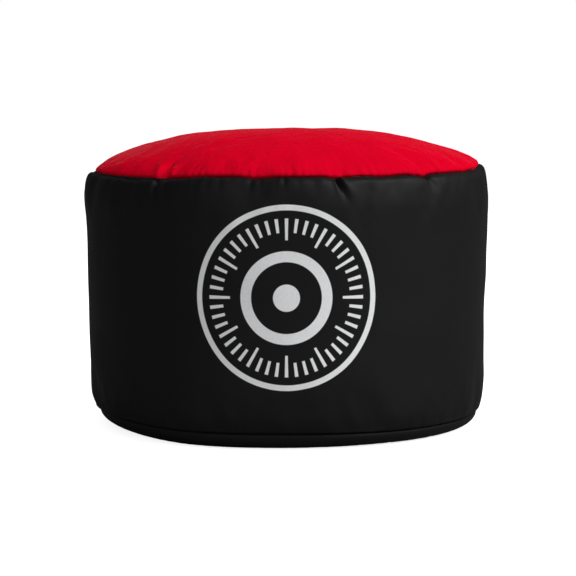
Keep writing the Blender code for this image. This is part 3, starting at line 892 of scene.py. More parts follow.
@dataclass(frozen=True)
class Inflation:
    """A coarse cloth simulation of the filled bag, whose wrinkles are laid over the modelled panels."""

    columns: int = 240
    step: float = 0.0052
    depth: float = 0.110
    frames: int = 22
    pressure: float = 4.0
    excess: float = 0.035
    seam_take_up: float = 0.030
    stiffness: float = 30.0
    bending: float = 0.6
    orders: tuple[int, int] = (5, 78)
    most: float = 0.0045
    seed: int = 91
    unevenness: float = 0.00015
    weight: float = 0.3
    damping: float = 4.0
    shear_share: float = 1 / 3
    neighbour_share: float = 0.25

    def wrinkles(self, wall: Array, dome: Array) -> Wrinkles:
        """Inflates the skin round the top seam and keeps what wrinkles.

        Args:
            wall: radius and height along the wall, up to the seam.
            dome: the same from the seam to the middle of the top.

        Returns:
            The wrinkles.
        """
        wall_length, dome_length = lengths_along(wall)[-1], lengths_along(dome)[-1]
        below = np.linspace(-self.depth, 0, round(self.depth / self.step) + 1)
        above = np.linspace(0, dome_length, round(dome_length / self.step) + 1)[1:]
        rows = np.vstack([walk(wall, wall_length + below), walk(dome, above)])
        return Wrinkles(self.settle(rows, len(below) - 1), np.concatenate([below, above]))

    def settle(self, path: Array, seam: int) -> Array:
        """Inflates the skin over a path.

        Args:
            path: radius and height of its rows, from the wall over the top seam to the middle of the top.
            seam: the top seam's row.

        Returns:
            Rows by columns of moves along the cloth's normal, without the longest and shortest waves.
        """
        phi = np.arange(self.columns) * (math.tau / self.columns)
        rows = len(path)
        rng = np.random.default_rng(self.seed)
        points = turned(path, phi)
        start = points + rng.normal(size=points.shape) * self.unevenness
        start[0] = points[0]
        column = np.arange(self.columns)
        after = (column + 1) % self.columns
        ring = np.stack([column, after, after + self.columns, column + self.columns], -1)
        faces = np.vstack([ring + row * self.columns for row in range(rows - 1)]).tolist()
        mesh = bpy.data.meshes.new("inflated")
        mesh.from_pydata(start.reshape(-1, 3).tolist(), [], faces)
        item = placed("inflated", mesh)
        held = item.vertex_groups.new(name="held")
        held.add(list(range(self.columns * 2)), 1.0, "REPLACE")
        tight = item.vertex_groups.new(name="tight")
        tight.add(list(range((seam - 1) * self.columns, (seam + 2) * self.columns)), 1.0, "REPLACE")
        cloth = item.modifiers.new("filled", "CLOTH")
        settings = cloth.settings
        settings.quality = 6
        settings.mass = self.weight
        settings.tension_stiffness = settings.compression_stiffness = self.stiffness
        settings.shear_stiffness = self.stiffness * self.shear_share
        settings.bending_stiffness = self.bending
        settings.air_damping = self.damping
        settings.vertex_group_mass = "held"
        settings.use_pressure = True
        settings.uniform_pressure_force = self.pressure
        settings.vertex_group_shrink = "tight"
        settings.shrink_min = -self.excess
        settings.shrink_max = self.seam_take_up
        settings.effector_weights.gravity = 0
        cloth.collision_settings.use_collision = False
        cloth.point_cache.frame_end = self.frames
        for moment in range(1, self.frames + 1):
            bpy.context.scene.frame_set(moment)
        shown = item.evaluated_get(bpy.context.evaluated_depsgraph_get()).to_mesh()
        moved = np.empty(rows * self.columns * 3)
        shown.vertices.foreach_get("co", moved)
        moved = moved.reshape(points.shape) - points
        bpy.context.scene.frame_set(1)
        bpy.data.objects.remove(item)
        bpy.data.meshes.remove(mesh)
        slope = directions(path)
        normal = turned(np.stack([slope[:, 1], -slope[:, 0]], -1), phi)
        along = (moved * normal).sum(axis=-1)
        waves = np.fft.rfft(along, axis=1)
        waves[:, : self.orders[0]] = 0
        waves[:, self.orders[1] :] = 0
        kept = np.clip(np.fft.irfft(waves, self.columns, axis=1), -self.most, self.most)
        padded = np.vstack([kept[:1], kept, kept[-1:]])
        share = self.neighbour_share
        return padded[:-2] * share + kept * (1 - 2 * share) + padded[2:] * share


@dataclass(frozen=True)
class Crease:
    """A crease that runs from a seam into a panel. A negative height is a valley, a positive one a ridge."""

    angle: float
    height: float
    width: float
    reach: float
    lean: float = 0.0
    flank: float = 0.0
    start: float = 0.0
    gentle: float = 1.0

    moat: ClassVar[float] = 0.25
    lip: ClassVar[float] = 0.3
    lip_off: ClassVar[float] = 2.0
    lip_width: ClassVar[float] = 1.1
    flank_off: ClassVar[float] = 1.7
    flank_widths: ClassVar[tuple[float, float]] = (0.9, 2.4)
    sharpness: ClassVar[float] = 1.3
    widening: ClassVar[float] = 0.9
    widest_at: ClassVar[float] = 1.5
    fade: ClassVar[float] = 1.6

    def across(self, off: Array) -> Array:
        """Its cross-section, for places in its widths. A valley is sharp, and may have one full flank."""
        beside = hump(np.abs(off) - self.lip_off, self.lip_width)
        if self.height > 0:
            return hump(off, 1.0) - self.moat * beside
        side = off * (1 if self.flank >= 0 else -1) - self.flank_off
        full = hump(side, np.where(side < 0, *self.flank_widths)) * abs(self.flank)
        eased_off = np.where(off < 0, off / self.gentle, off)
        return np.exp(-(np.abs(eased_off) ** self.sharpness)) - np.maximum(full, self.lip * beside)

    def over(self, off: Array, gap: Array) -> Array:
        """Its height over a panel.

        Args:
            off: the columns' distances from its foot, round the bag.
            gap: the rows' distances from the seam.

        Returns:
            Rows by columns of heights along the panel's normal.
        """
        centre = self.lean * (gap / self.reach)[:, None]
        share = ((gap - self.start) / self.reach)[:, None]
        width = self.width * (1 + self.widening * np.clip(share, 0, self.widest_at))
        return self.height * np.exp(-(share**2) * self.fade) * self.across((off[None, :] - centre) / width)


@dataclass(frozen=True)
class Puckers:
    """Small seeded creases all round a seam. The least and most steps between them are in degrees."""

    seed: int
    least: float
    most: float
    smallest: float = 0.3
    size_power: float = 1.6
    height: float = 0.00085
    width: float = 0.0018
    width_spread: float = 0.0026
    reach: float = 0.007
    reach_spread: float = 0.026
    lean: float = 0.004
    clear: float = 2.4

    def around(self, skip: Sequence[Crease] = ()) -> list[Crease]:
        """The creases, clear of larger ones.

        Args:
            skip: the larger creases.

        Returns:
            The creases.
        """
        rng = np.random.default_rng(self.seed)
        found, angle = [], -180.0
        while angle < 180.0:
            size = rng.uniform(self.smallest, 1.0) ** self.size_power
            crease = Crease(
                angle,
                rng.choice((-1, -1, 1)) * self.height * size,
                self.width + self.width_spread * rng.uniform(),
                self.reach + self.reach_spread * size,
                rng.normal() * self.lean,
            )
            if all(abs(angle - other.angle) > self.clear for other in skip):
                found.append(crease)
            angle += rng.uniform(self.least, self.most)
        return found


@dataclass(frozen=True)
class Gathers:
    """Fine seeded gathers beside a seam."""

    seed: int
    height: float = 0.00006
    reach: float = 0.007
    orders: tuple[int, int, int] = (90, 190, 4)

    def over(self, phi: Array, gap: Array) -> Array:
        """Rows by columns of heights, for the columns' angles and the rows' distances from the seam."""
        rng = np.random.default_rng(self.seed)
        wave = np.zeros(len(phi))
        for order in range(*self.orders):
            wave += rng.normal() * np.cos(order * phi + rng.uniform(0, math.tau))
        return self.height * wave[None, :] * np.exp(-gap / self.reach)[:, None]


@dataclass(frozen=True)
class Swell:
    """Broad unevenness of a panel, in seeded waves."""

    height: float
    wavelength: float
    seed: int

    def at(self, points: Array) -> Array:
        """Its heights at points."""
        return self.height * Ripple(self.wavelength, self.seed).at(points)


@dataclass(frozen=True)
class ClosingSeam:
    """The wall's upright seam at the back: a groove with a ridge on both sides, and small tucks along it."""

    groove: float = 0.0018
    groove_width: float = 0.0013
    ridge: float = 0.0006
    ridge_off: float = 0.0045
    ridge_width: float = 0.0025
    tuck: float = 0.0004
    tuck_reach: float = 0.006
    tuck_turn: float = 420.0

    def over(self, away: Array, rows: Array) -> Array:
        """Rows by columns of heights, for the columns' distances from it and the rows' places along it."""
        ridge = self.ridge * hump(away - self.ridge_off, self.ridge_width)
        tucks = self.tuck * np.sin(np.linspace(0, rows[-1] * self.tuck_turn, len(rows)))[:, None]
        return ridge - self.groove * hump(away, self.groove_width) + tucks * np.exp(-away / self.tuck_reach)


@dataclass(frozen=True)
class Dip:
    """A place where the top seam is pulled down, with the cloth around it."""

    angle: float
    drop: float
    width: float
    reach: float = 0.018
    power: float = 1.2


@dataclass(frozen=True)
class Foot:
    """A side on which the bag stands differently: its foot seam's lift, its move outwards, and its rest's."""

    angle: float
    width: float
    lift: float = 0.0
    out: float = 0.0
    rest: float = 0.0


@dataclass
class Skin:
    """The four panels of the bag: a red domed top, a black wall and a black base in two halves."""

    shop: Workshop
    cloth: float = 0.0012
    allowance: float = 0.012
    fold_round: float = 0.0007
    lip_inset: float = 0.0036
    rim_rise: float = 0.003
    rim_out: float = 0.0027
    rest_inset: float = 0.0145
    skirt_top: float = 0.004
    columns: int = 640
    fan_steps: int = 20000
    fan_width: float = 0.010
    crease_density: float = 300.0
    back_density: float = 3.0
    wall_spacing: Spacing = Spacing(0.0010, 0.0048, 0.070)
    dome_spacing: Spacing = Spacing(0.0010, 0.0040, 0.045)
    stride_radii: tuple = (0.120, 0.060, 0.026)
    feet: tuple = (
        Foot(-72.0, 0.100, 0.0022, -0.0044, -0.0105),
        Foot(-28.0, 0.062, 0.0, 0.0012, 0.0068),
        Foot(0.0, 0.060, 0.0012, 0.0, 0.0),
        Foot(26.0, 0.050, 0.0, 0.0, -0.0022),
        Foot(58.0, 0.110, -0.0008, 0.0004, 0.0),
    )
    rim_bulge: float = 0.0014
    rim_pinch: float = 0.0020
    wall_wrinkling: float = 0.45
    foot_wrinkling: float = 0.30
    foot_wrinkle_turn: float = 1.1
    dome_wrinkling: float = 0.40
    dome_wrinkle_reach: float = 0.048
    calm_spots: tuple = (-38.0, 14.0)
    calm_width: float = 0.016
    calm_share: float = 0.85
    wrinkles: Wrinkles | None = None
    sway: Gathers = Gathers(41, 0.00007, 0.018, (9, 34, 1))
    drop_in_share: float = 0.35
    stiff_reach: float = 0.0035
    wall_stiff_share: float = 0.25
    dome_stiff_share: float = 0.2
    wall_ease: float = 0.02
    dome_ease: float = 0.015
    foot_fade: float = 0.030
    wall_puckers: Puckers = Puckers(7, 2.2, 7.0)
    foot_puckers: Puckers = Puckers(11, 3.0, 9.0)
    foot_pucker_share: float = 0.6
    base_puckers: Puckers = Puckers(13, 3.0, 8.0)
    dome_puckers: Puckers = Puckers(17, 2.4, 7.5)
    wall_gathers: Gathers = Gathers(5)
    foot_gathers: Gathers = Gathers(6, 0.000042)
    dome_gathers: Gathers = Gathers(8, 0.000132)
    wall_swells: tuple = (Swell(0.0007, 0.16, 3), Swell(0.00025, 0.055, 4))
    dome_swells: tuple = (Swell(0.0006, 0.13, 23), Swell(0.00030, 0.045, 24), Swell(0.00016, 0.017, 27))
    dome_ridges: float = 0.00042
    ridge_waves: Ripple = Ripple(0.040, 25)
    patch_waves: Ripple = Ripple(0.11, 26)
    patch_contrast: float = 0.8
    patch_side: float = 0.35
    closing_seam: ClosingSeam = ClosingSeam()
    wall_shares: tuple = (
        (0.957, 0.0),
        (0.968, 0.036),
        (0.9755, 0.07),
        (0.9830, 0.19),
        (0.9865, 0.60),
        (0.9925, 0.78),
        (1.0, 0.88),
        (0.9975, 0.915),
        (0.9925, 0.951),
        (0.9805, 0.993),
        (0.950, 1.0),
    )
    dome_shares: tuple = (
        (0.985, 0.082),
        (0.95, 0.212),
        (0.87, 0.405),
        (0.74, 0.632),
        (0.57, 0.848),
        (0.36, 0.976),
        (0.18, 0.998),
        (0.0, 1.0),
    )
    rim_shares: tuple = ((0.0, 0.0), (0.35, 0.13), (0.82, 0.40), (1.0, 1.0))
    dips: tuple = (
        Dip(-38.3, 0.0062, 0.0042),
        Dip(-80.0, 0.0042, 0.1300, 0.120, 2.0),
        Dip(85.0, -0.0003, 0.1000, 0.100, 2.0),
        Dip(97.0, -0.0024, 0.0550, 0.012, 2.0),
        Dip(-46.0, 0.0021, 0.0550, 0.030, 2.0),
        Dip(-27.4, 0.0015, 0.0100),
        Dip(-8.8, 0.0013, 0.0080),
        Dip(13.6, 0.0014, 0.0060),
        Dip(42.2, 0.0028, 0.0055),
    )
    dome_creases: tuple = (
        Crease(-39.1, 0.0013, 0.0056, 0.024, -0.0050),
        Crease(-36.9, -0.0060, 0.0040, 0.014, -0.0030, 0.0, 0.010),
        Crease(-41.4, -0.0007, 0.0026, 0.020, -0.004),
        Crease(-25.8, -0.0013, 0.0017, 0.014, 0.001),
        Crease(-10.5, -0.0007, 0.0025, 0.012),
        Crease(15.8, -0.0014, 0.0018, 0.013, -0.002),
        Crease(39.8, -0.0010, 0.0030, 0.024, -0.006),
        Crease(42.6, 0.0010, 0.0034, 0.018, 0.001),
    )
    wall_creases: tuple = (
        Crease(-38.5, -0.0030, 0.0016, 0.018, -0.001, 0.4),
        Crease(-35.2, -0.0010, 0.0018, 0.022, 0.002, 0.5),
        Crease(-41.4, -0.0010, 0.0024, 0.018, -0.002),
        Crease(-18.4, -0.0010, 0.0018, 0.021, 0.002),
        Crease(-9.8, -0.0014, 0.0022, 0.022, -0.001, 0.4),
        Crease(-7.2, -0.0008, 0.0018, 0.014, 0.001),
        Crease(-0.6, -0.0018, 0.0016, 0.014, 0.0, 0.4),
        Crease(13.3, -0.0066, 0.0014, 0.019, 0.0078, 0.55, 0.002, 1.8),
        Crease(42.0, -0.0020, 0.0018, 0.016, 0.007, 0.5),
        Crease(61.0, -0.0008, 0.0045, 0.034, 0.008),
        Crease(-57.0, -0.0008, 0.0045, 0.034, -0.008),
    )

    def __post_init__(self) -> None:
        """Reads the panels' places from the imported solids."""
        wall_low, wall_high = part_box("side_panel")
        top_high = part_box("top_panel")[1]
        self.radius = wall_high.x
        self.foot_z = wall_low.z
        self.head_z = wall_high.z
        self.top_z = top_high.z
        self.top_edge = top_high.x - self.rim_out
        self.base_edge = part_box("bottom_panel_front")[1].x
        self.rest_radius = self.base_edge - self.rest_inset

    def round_off(self, angle: float, phi: Array) -> Array:
        """How far round the bag an angle in degrees lies from each column, in metres."""
        return ((phi - math.radians(angle) + math.pi) % math.tau - math.pi) * self.radius

    def fanned(self, creases: Sequence[Crease], back: float = 0.0) -> Array:
        """The columns' angles all round, closer together by creases.

        Args:
            creases: the creases.
            back: how much denser the columns are at the back.

        Returns:
            The angles, from the back round to the back again.
        """
        fine = np.linspace(-math.pi, math.pi, self.fan_steps + 1)
        density = 1 + back * hump(self.round_off(180.0, fine), self.fan_width)
        for crease in creases:
            more = 1 + self.crease_density * abs(crease.height)
            density = np.maximum(density, 1 + more * hump(self.round_off(crease.angle, fine), self.fan_width))
        total = np.concatenate([[0], np.cumsum((density[1:] + density[:-1]) / 2)])
        return np.interp(np.linspace(0, total[-1], self.columns + 1), total, fine)

    def stir(self, phi: Array) -> Array:
        """How much of the simulated wrinkles each column takes: less by the largest modelled creases."""
        calm = [hump(self.round_off(angle, phi), self.calm_width) for angle in self.calm_spots]
        return 1 - self.calm_share * np.max(calm, axis=0)

    def seam_drop(self, phi: Array, gap: Array) -> Array:
        """How far the cloth is pulled down with the top seam.

        Args:
            phi: the columns' angles.
            gap: the rows' distances from the seam.

        Returns:
            Rows by columns of heights.
        """
        drop = np.zeros((len(gap), len(phi)))
        for dip in self.dips:
            across = np.exp(-np.abs(self.round_off(dip.angle, phi) / dip.width) ** dip.power)
            drop += dip.drop * across * np.exp(-gap / dip.reach)[:, None]
        return drop + self.sway.over(phi, gap)

    def foot(self, phi: Array) -> tuple[Array, Array, Array]:
        """How the bag stands all round.

        Args:
            phi: the columns' angles.

        Returns:
            How much higher the foot seam lies at each column, how much further out, and the rest's radius.
        """
        totals = np.zeros((3, len(phi)))
        for mark in self.feet:
            share = hump(self.round_off(mark.angle, phi), mark.width)
            totals += np.array([[mark.lift], [mark.out], [mark.rest]]) * share
        return totals[0], totals[1], totals[2] + self.rest_radius

    def creased(self, creases: Sequence[Crease], phi: Array, gap: Array) -> Array:
        """The height of creases over a panel, for columns' angles and rows' distances from the seam."""
        return sum(crease.over(self.round_off(crease.angle, phi), gap) for crease in creases)

    def shaped(
        self, path: Array, phi: Array, gap: Array, relief: Array, hold: Array
    ) -> Array:
        """A panel's points.

        Args:
            path: its rows' radius and height.
            phi: its columns' angles.
            gap: each row's distance from the top seam.
            relief: rows by columns of heights along the panel's normal.
            hold: how much of the relief each row takes.

        Returns:
            Rows by columns of points.
        """
        slope = directions(path)
        out, up = slope[:, 1], -slope[:, 0]
        height = relief * hold[:, None]
        drop = self.seam_drop(phi, gap)
        radius = path[:, :1] + out[:, None] * height - self.drop_in_share * drop
        level = path[:, 1:] + up[:, None] * height - drop
        return np.stack([radius * np.sin(phi), -radius * np.cos(phi), level], -1)

    def wall_path(self) -> list[tuple[float, float]]:
        """Radius and height up the wall, from seam to seam."""
        span = self.head_z - self.foot_z
        return [(self.radius * out, self.foot_z + span * up) for out, up in self.wall_shares]

    def wall_rows(self) -> tuple[Array, float, float]:
        """The wall's rounded path, from its foot's turned-in edge to its head's, and both seams' places."""
        wall = self.wall_path()
        foot, head = wall[0][0], wall[-1][0]
        rounding = self.fold_round
        foot_lip, head_lip = foot - self.lip_inset, head - self.lip_inset
        path = [(foot_lip, self.foot_z + self.allowance), (foot_lip, self.foot_z + rounding)]
        path += [(foot_lip + rounding, self.foot_z), (foot - rounding, self.foot_z)]
        path += [(foot, self.foot_z + rounding)] + wall[1:-1] + [(head, self.head_z - rounding)]
        path += [(head - rounding, self.head_z), (head_lip + rounding, self.head_z)]
        path += [(head_lip, self.head_z - rounding), (head_lip, self.head_z - self.allowance)]
        points = eased(path)
        along = lengths_along(points)
        lowest = along[np.argmin(points[:, 1] + (along > along[-1] / 2))]
        highest = along[np.argmax(points[:, 1])]
        return points, float(lowest) + rounding, float(highest) - rounding

    def dome_path(self) -> Array:
        """The top's rounded path from its rim to its middle."""
        rim_z = self.head_z + self.rim_rise
        rim_radius = self.top_edge + self.rim_out
        across, over = self.rim_out, self.rim_rise
        rim = [(self.top_edge + across * out, self.head_z + over * up) for out, up in self.rim_shares]
        dome = [(rim_radius * out, rim_z + (self.top_z - rim_z) * up) for out, up in self.dome_shares]
        return np.array(rim + dome)

    def simulate(self) -> Wrinkles | None:
        wall = np.array(self.wall_path())
        wall[-1] = self.dome_path()[1]
        return Inflation().wrinkles(eased(wall), eased(self.dome_path()[1:-1]))

    def hang(self, mesh: Mesh, finish: Cloth, slot: str, node: str) -> None:
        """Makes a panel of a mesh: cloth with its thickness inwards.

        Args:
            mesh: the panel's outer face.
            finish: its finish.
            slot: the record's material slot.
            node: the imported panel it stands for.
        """
        item = self.shop.piece(mesh, finish, slot, Body.ROOT, (node,))
        wall = item.modifiers.new("cloth thickness", "SOLIDIFY")
        wall.thickness = self.cloth
        wall.offset = -1
        wall.use_rim = True

    def make_wall(self) -> None:
        """The black wall, with its edges turned in at both seams and its closing seam at the back."""
        points, foot_at, head_at = self.wall_rows()
        rows = self.wall_spacing.over(lengths_along(points)[-1], (foot_at, head_at))
        path = walk(points, rows)
        phi = self.fanned(self.wall_creases, self.back_density)
        gap, low_gap = np.abs(rows - head_at), np.abs(rows - foot_at)
        relief = self.creased(self.wall_creases, phi, gap)
        relief += self.creased(self.wall_puckers.around(self.wall_creases), phi, gap)
        relief += self.foot_pucker_share * self.creased(self.foot_puckers.around(), phi, low_gap)
        relief += self.wall_gathers.over(phi, gap) + self.foot_gathers.over(phi, low_gap)
        if self.wrinkles:
            relief += self.wall_wrinkling * self.stir(phi) * self.wrinkles.at(phi, -gap)
            relief += self.foot_wrinkling * self.wrinkles.at(phi + self.foot_wrinkle_turn, -low_gap)
        near = np.minimum(gap, low_gap)
        inner = (near / (near + self.wall_ease))[:, None]
        plain = turned(path, phi)
        relief += sum(swell.at(plain) for swell in self.wall_swells) * inner
        relief += self.closing_seam.over((math.pi - np.abs(phi)) * self.radius, rows)
        hold = np.where((rows > head_at) | (rows < foot_at), 0.0, 1.0)
        hold *= np.clip(near / self.stiff_reach, self.wall_stiff_share, 1)
        surface = self.shaped(path, phi, gap, relief, hold)
        lift, out, _ = self.foot(phi)
        fade = np.exp(-low_gap / self.foot_fade)[:, None]
        surface[..., 2] += lift * fade
        surface[..., :2] *= (1 + out * fade / self.radius)[..., None]
        cloth = np.stack(np.broadcast_arrays(phi[None, :] * self.radius, path[:, 1:]), -1)
        mesh = grid_mesh("side_cloth", surface, cloth, closed=True)
        self.hang(mesh, Cloth("black_cloth_printed", BLACK, dial=Dial()), "black_cloth", "side_panel")

    def make_top(self) -> None:
        """The red domed panel, gathered into the top seam."""
        skirt = [(self.top_edge, self.head_z - self.allowance), (self.top_edge, self.head_z - self.skirt_top)]
        points = eased(np.vstack([skirt, self.dome_path()]))
        along = lengths_along(points)
        seam_at = along[np.argmin(np.abs(points[:, 1] - self.head_z) + (along > along[-1] / 2))]
        rows = self.dome_spacing.over(along[-1], (seam_at,))
        path = walk(points, rows)
        phi = self.fanned(self.dome_creases)[:-1]
        gap = np.abs(rows - seam_at)
        relief = self.creased(self.dome_creases, phi, gap)
        relief += self.creased(self.dome_puckers.around(self.dome_creases), phi, gap)
        relief += self.dome_gathers.over(phi, gap)
        if self.wrinkles:
            near = self.dome_wrinkling * hump(gap, self.dome_wrinkle_reach)[:, None]
            relief += near * self.stir(phi) * self.wrinkles.at(phi, gap)
        inner = (gap / (gap + self.dome_ease))[:, None]
        plain = turned(path, phi)
        patches = self.patch_contrast * self.patch_waves.at(plain) + self.patch_side * np.sin(phi)[None, :]
        ridges = self.dome_ridges * self.ridge_waves.ridged(plain) * np.clip(0.5 + patches, 0, 1)
        relief += (sum(swell.at(plain) for swell in self.dome_swells) + ridges) * inner
        hold = np.where(rows < seam_at, 0.0, 1.0) * np.clip(gap / self.stiff_reach, self.dome_stiff_share, 1)
        surface = self.shaped(path, phi, gap, relief, hold)
        surface[-1] = surface[-1].mean(axis=0)
        strides = [2 ** sum(radius <= limit for limit in self.stride_radii) for radius in path[:-1, 0]]
        finish = Cloth("red_cloth", (0.57, 0.0008, 0.0150), crinkle=0.0010, shine=0.0, sheen=0.08)
        self.hang(disc_mesh("top_cloth", surface, strides), finish, "red_cloth", "top_panel")

    def make_base(self, recess: "Recess") -> None:
        """Both halves of the base, round the closure's recess and mouth."""
        finish = Cloth("black_cloth", BLACK)
        for name, side in (("bottom_panel_front", -1), ("bottom_panel_rear", 1)):
            mesh = recess.base_half(name.replace("panel", "cloth"), side, self)
            self.hang(mesh, finish, "black_cloth", name)

    def build(self, recess: "Recess") -> None:
        """Makes every panel, the base round the closure's recess."""
        self.wrinkles = self.simulate()
        self.make_wall()
        self.make_top()
        self.make_base(recess)


# The closure


def half_loop(half_x: float, far_y: float, corner: float, side: int, shares: Array) -> Array:
    """Half of a rounded rectangle, from one end of its long axis round to the other.

    Args:
        half_x: half its length.
        far_y: its reach from the long axis.
        corner: its corner radius.
        side: -1 for the front half, 1 for the rear half.
        shares: places along it, from 0 to 1.

    Returns:
        A point for each place.
    """
    turns = np.linspace(0, math.pi / 2, 9)
    right = [(half_x - corner + corner * math.cos(t), far_y - corner + corner * math.sin(t)) for t in turns]
    left = [(-x, y) for x, y in right[::-1]]
    path = np.array([(half_x, 0.0)] + right + left + [(-half_x, 0.0)])
    points = walk(path, shares * lengths_along(path)[-1])
    points[:, 1] *= side
    return points


@dataclass(frozen=True)
class BaseUnevenness:
    """How the base's cloth lies: a little off the floor, tucked at its rim, grooved where its halves meet."""

    waves: Ripple = Ripple(0.05, 31)
    lift: float = 0.00035
    lift_reach: float = 0.4
    flat_to: float = 0.14
    fade: float = 0.02
    tuck_band: float = 0.02
    deepest_tuck: float = 0.0002
    tuck_share: float = 0.6
    groove: float = 0.0011
    groove_width: float = 0.0014
    groove_clear: float = 0.003
    floor_level: float = 0.001
    rest_margin: float = 0.002
    overlap: float = 0.00006

    def laid(
        self, flat: Array, level: Array, rest: Array, tucks: Array, start: float
    ) -> Array:
        """The cloth's points.

        Args:
            flat: loops by points of places on the floor.
            level: their heights.
            rest: how far out each column rests on the floor.
            tucks: the small tucks at the rim.
            start: how far out the groove begins.

        Returns:
            Loops by points of x, y and z.
        """
        points = np.concatenate([flat, level[..., None]], -1)
        radius = np.linalg.norm(flat, axis=-1)
        away = np.abs(flat[..., 1])
        resting = (level < self.floor_level / 2) & (radius < rest + self.rest_margin)
        swell = self.lift * (1 + self.waves.at(points * np.array([1, 1, 0]))) * resting
        swell *= np.clip((np.abs(flat[..., 0]) + away * 2) / self.lift_reach, 0, 1)
        swell *= 1 - np.clip((radius - self.flat_to) / self.fade, 0, 1)
        groove = self.groove * hump(away, self.groove_width)
        under = groove * (level < self.floor_level) * (radius > start + self.groove_clear)
        round_rim = groove * (level >= self.floor_level) * (radius > rest)
        points[..., 2] += swell + under + tucks
        points[..., :2] -= flat / (radius[..., None] + SPECK) * round_rim[..., None]
        points[..., 1] -= np.sign(flat[..., 1].mean()) * self.overlap
        return points


def pillow_mesh(
    name: str, upper: Array, lower: Array, cloth: Array, thick: float, rim_share: float = 0.3
) -> Mesh:
    """A closed mesh of an upper and a lower sheet whose edges are joined by a rounded rim.

    Args:
        name: the mesh's name.
        upper: rows by columns of points.
        lower: the same for the lower sheet.
        cloth: rows by columns of cloth coordinates.
        thick: the thickness at the rim.
        rim_share: how far the rim's middle stands out, as a share of that.

    Returns:
        The mesh.
    """
    bm = bmesh.new()
    layer = bm.loops.layers.uv.new(CLOTH_MAP)
    rows, columns = upper.shape[:2]
    sheets = [[[bm.verts.new(p) for p in row] for row in sheet] for sheet in (upper, lower)]

    def face(corners: list, spots: list) -> None:
        """Adds a face with its cloth coordinates."""
        made = bm.faces.new(corners)
        made.smooth = True
        for loop, spot in zip(made.loops, spots):
            loop[layer].uv = spot

    for which, sheet in enumerate(sheets):
        for r in range(rows - 1):
            for c in range(columns - 1):
                ring = [(r, c), (r, c + 1), (r + 1, c + 1), (r + 1, c)]
                if which == 0:
                    ring.reverse()
                face([sheet[i][j] for i, j in ring], [cloth[i, j] for i, j in ring])
    edge = [(0, c) for c in range(columns)] + [(r, columns - 1) for r in range(1, rows)]
    edge += [(rows - 1, c) for c in range(columns - 2, -1, -1)] + [(r, 0) for r in range(rows - 2, 0, -1)]
    middles = []
    for r, c in edge:
        middle = (upper[r, c] + lower[r, c]) / 2
        near = upper[min(max(r, 1), rows - 2), min(max(c, 1), columns - 2)] - upper[r, c]
        inward = near / (np.linalg.norm(near) + SPECK)
        middles.append(bm.verts.new(middle - inward * thick * rim_share))
    count = len(edge)
    for k in range(count):
        a, b = edge[k], edge[(k + 1) % count]
        m, n = middles[k], middles[(k + 1) % count]
        spots = [cloth[a], cloth[b], cloth[b], cloth[a]]
        face([sheets[0][a[0]][a[1]], sheets[0][b[0]][b[1]], n, m], spots)
        face([m, n, sheets[1][b[0]][b[1]], sheets[1][a[0]][a[1]]], spots)
    bmesh.ops.recalc_face_normals(bm, faces=bm.faces)
    mesh = bpy.data.meshes.new(name)
    bm.to_mesh(mesh)
    bm.free()
    return mesh


def rectangle(half_x: float, near_y: float, far_y: float, level: float) -> list[Array]:
    """The four sides of a sewn rectangle."""
    corners = [(-half_x, near_y), (half_x, near_y), (half_x, far_y), (-half_x, far_y), (-half_x, near_y)]
    return [np.array([(*a, level), (*b, level)]) for a, b in zip(corners, corners[1:])]


@dataclass(frozen=True)
class Thread:
    """A thick sewing thread and the stitches it makes."""

    radius: float = 0.00022
    pitch: float = 0.0032
    length: float = 0.0026
    arch: float = 1.6
    sink: float = 0.9
    radius_shares: tuple = (0.55, 0.95, 1.0, 0.95, 0.55)
    finish: Moulded = Moulded("thread", (0.02, 0.02, 0.021), 0.6)

    def stitches(self, lines: Sequence[Array], up: float) -> Array:
        """Strand paths of stitches along lines.

        Args:
            lines: points of each line.
            up: which way the stitches stand proud, 1 up or -1 down.

        Returns:
            The strands' paths.
        """
        found = []
        spans = np.linspace(-0.5, 0.5, len(self.radius_shares))
        arch = (1 - (2 * spans) ** 2) * self.arch - self.sink
        for line in lines:
            length = lengths_along(line)[-1]
            middles = np.arange(self.pitch, length - self.pitch / 2, self.pitch)
            for middle in middles:
                points = walk(line, middle + spans * self.length)
                points[:, 2] += up * arch * self.radius
                found.append(points)
        return np.array(found)

    def sew(self, shop: Workshop, name: str, lines: Sequence[Array], up: float, body: Body) -> None:
        """Sews rows of stitches along lines.

        Args:
            shop: where the piece is made.
            name: its name.
            lines: points of each line.
            up: which way the stitches stand proud, 1 up or -1 down.
            body: the body they ride on.
        """
        radii = [self.radius * share for share in self.radius_shares]
        shop.piece(strand_mesh(name, self.stitches(lines, up), radii), self.finish, "black_tape", body)


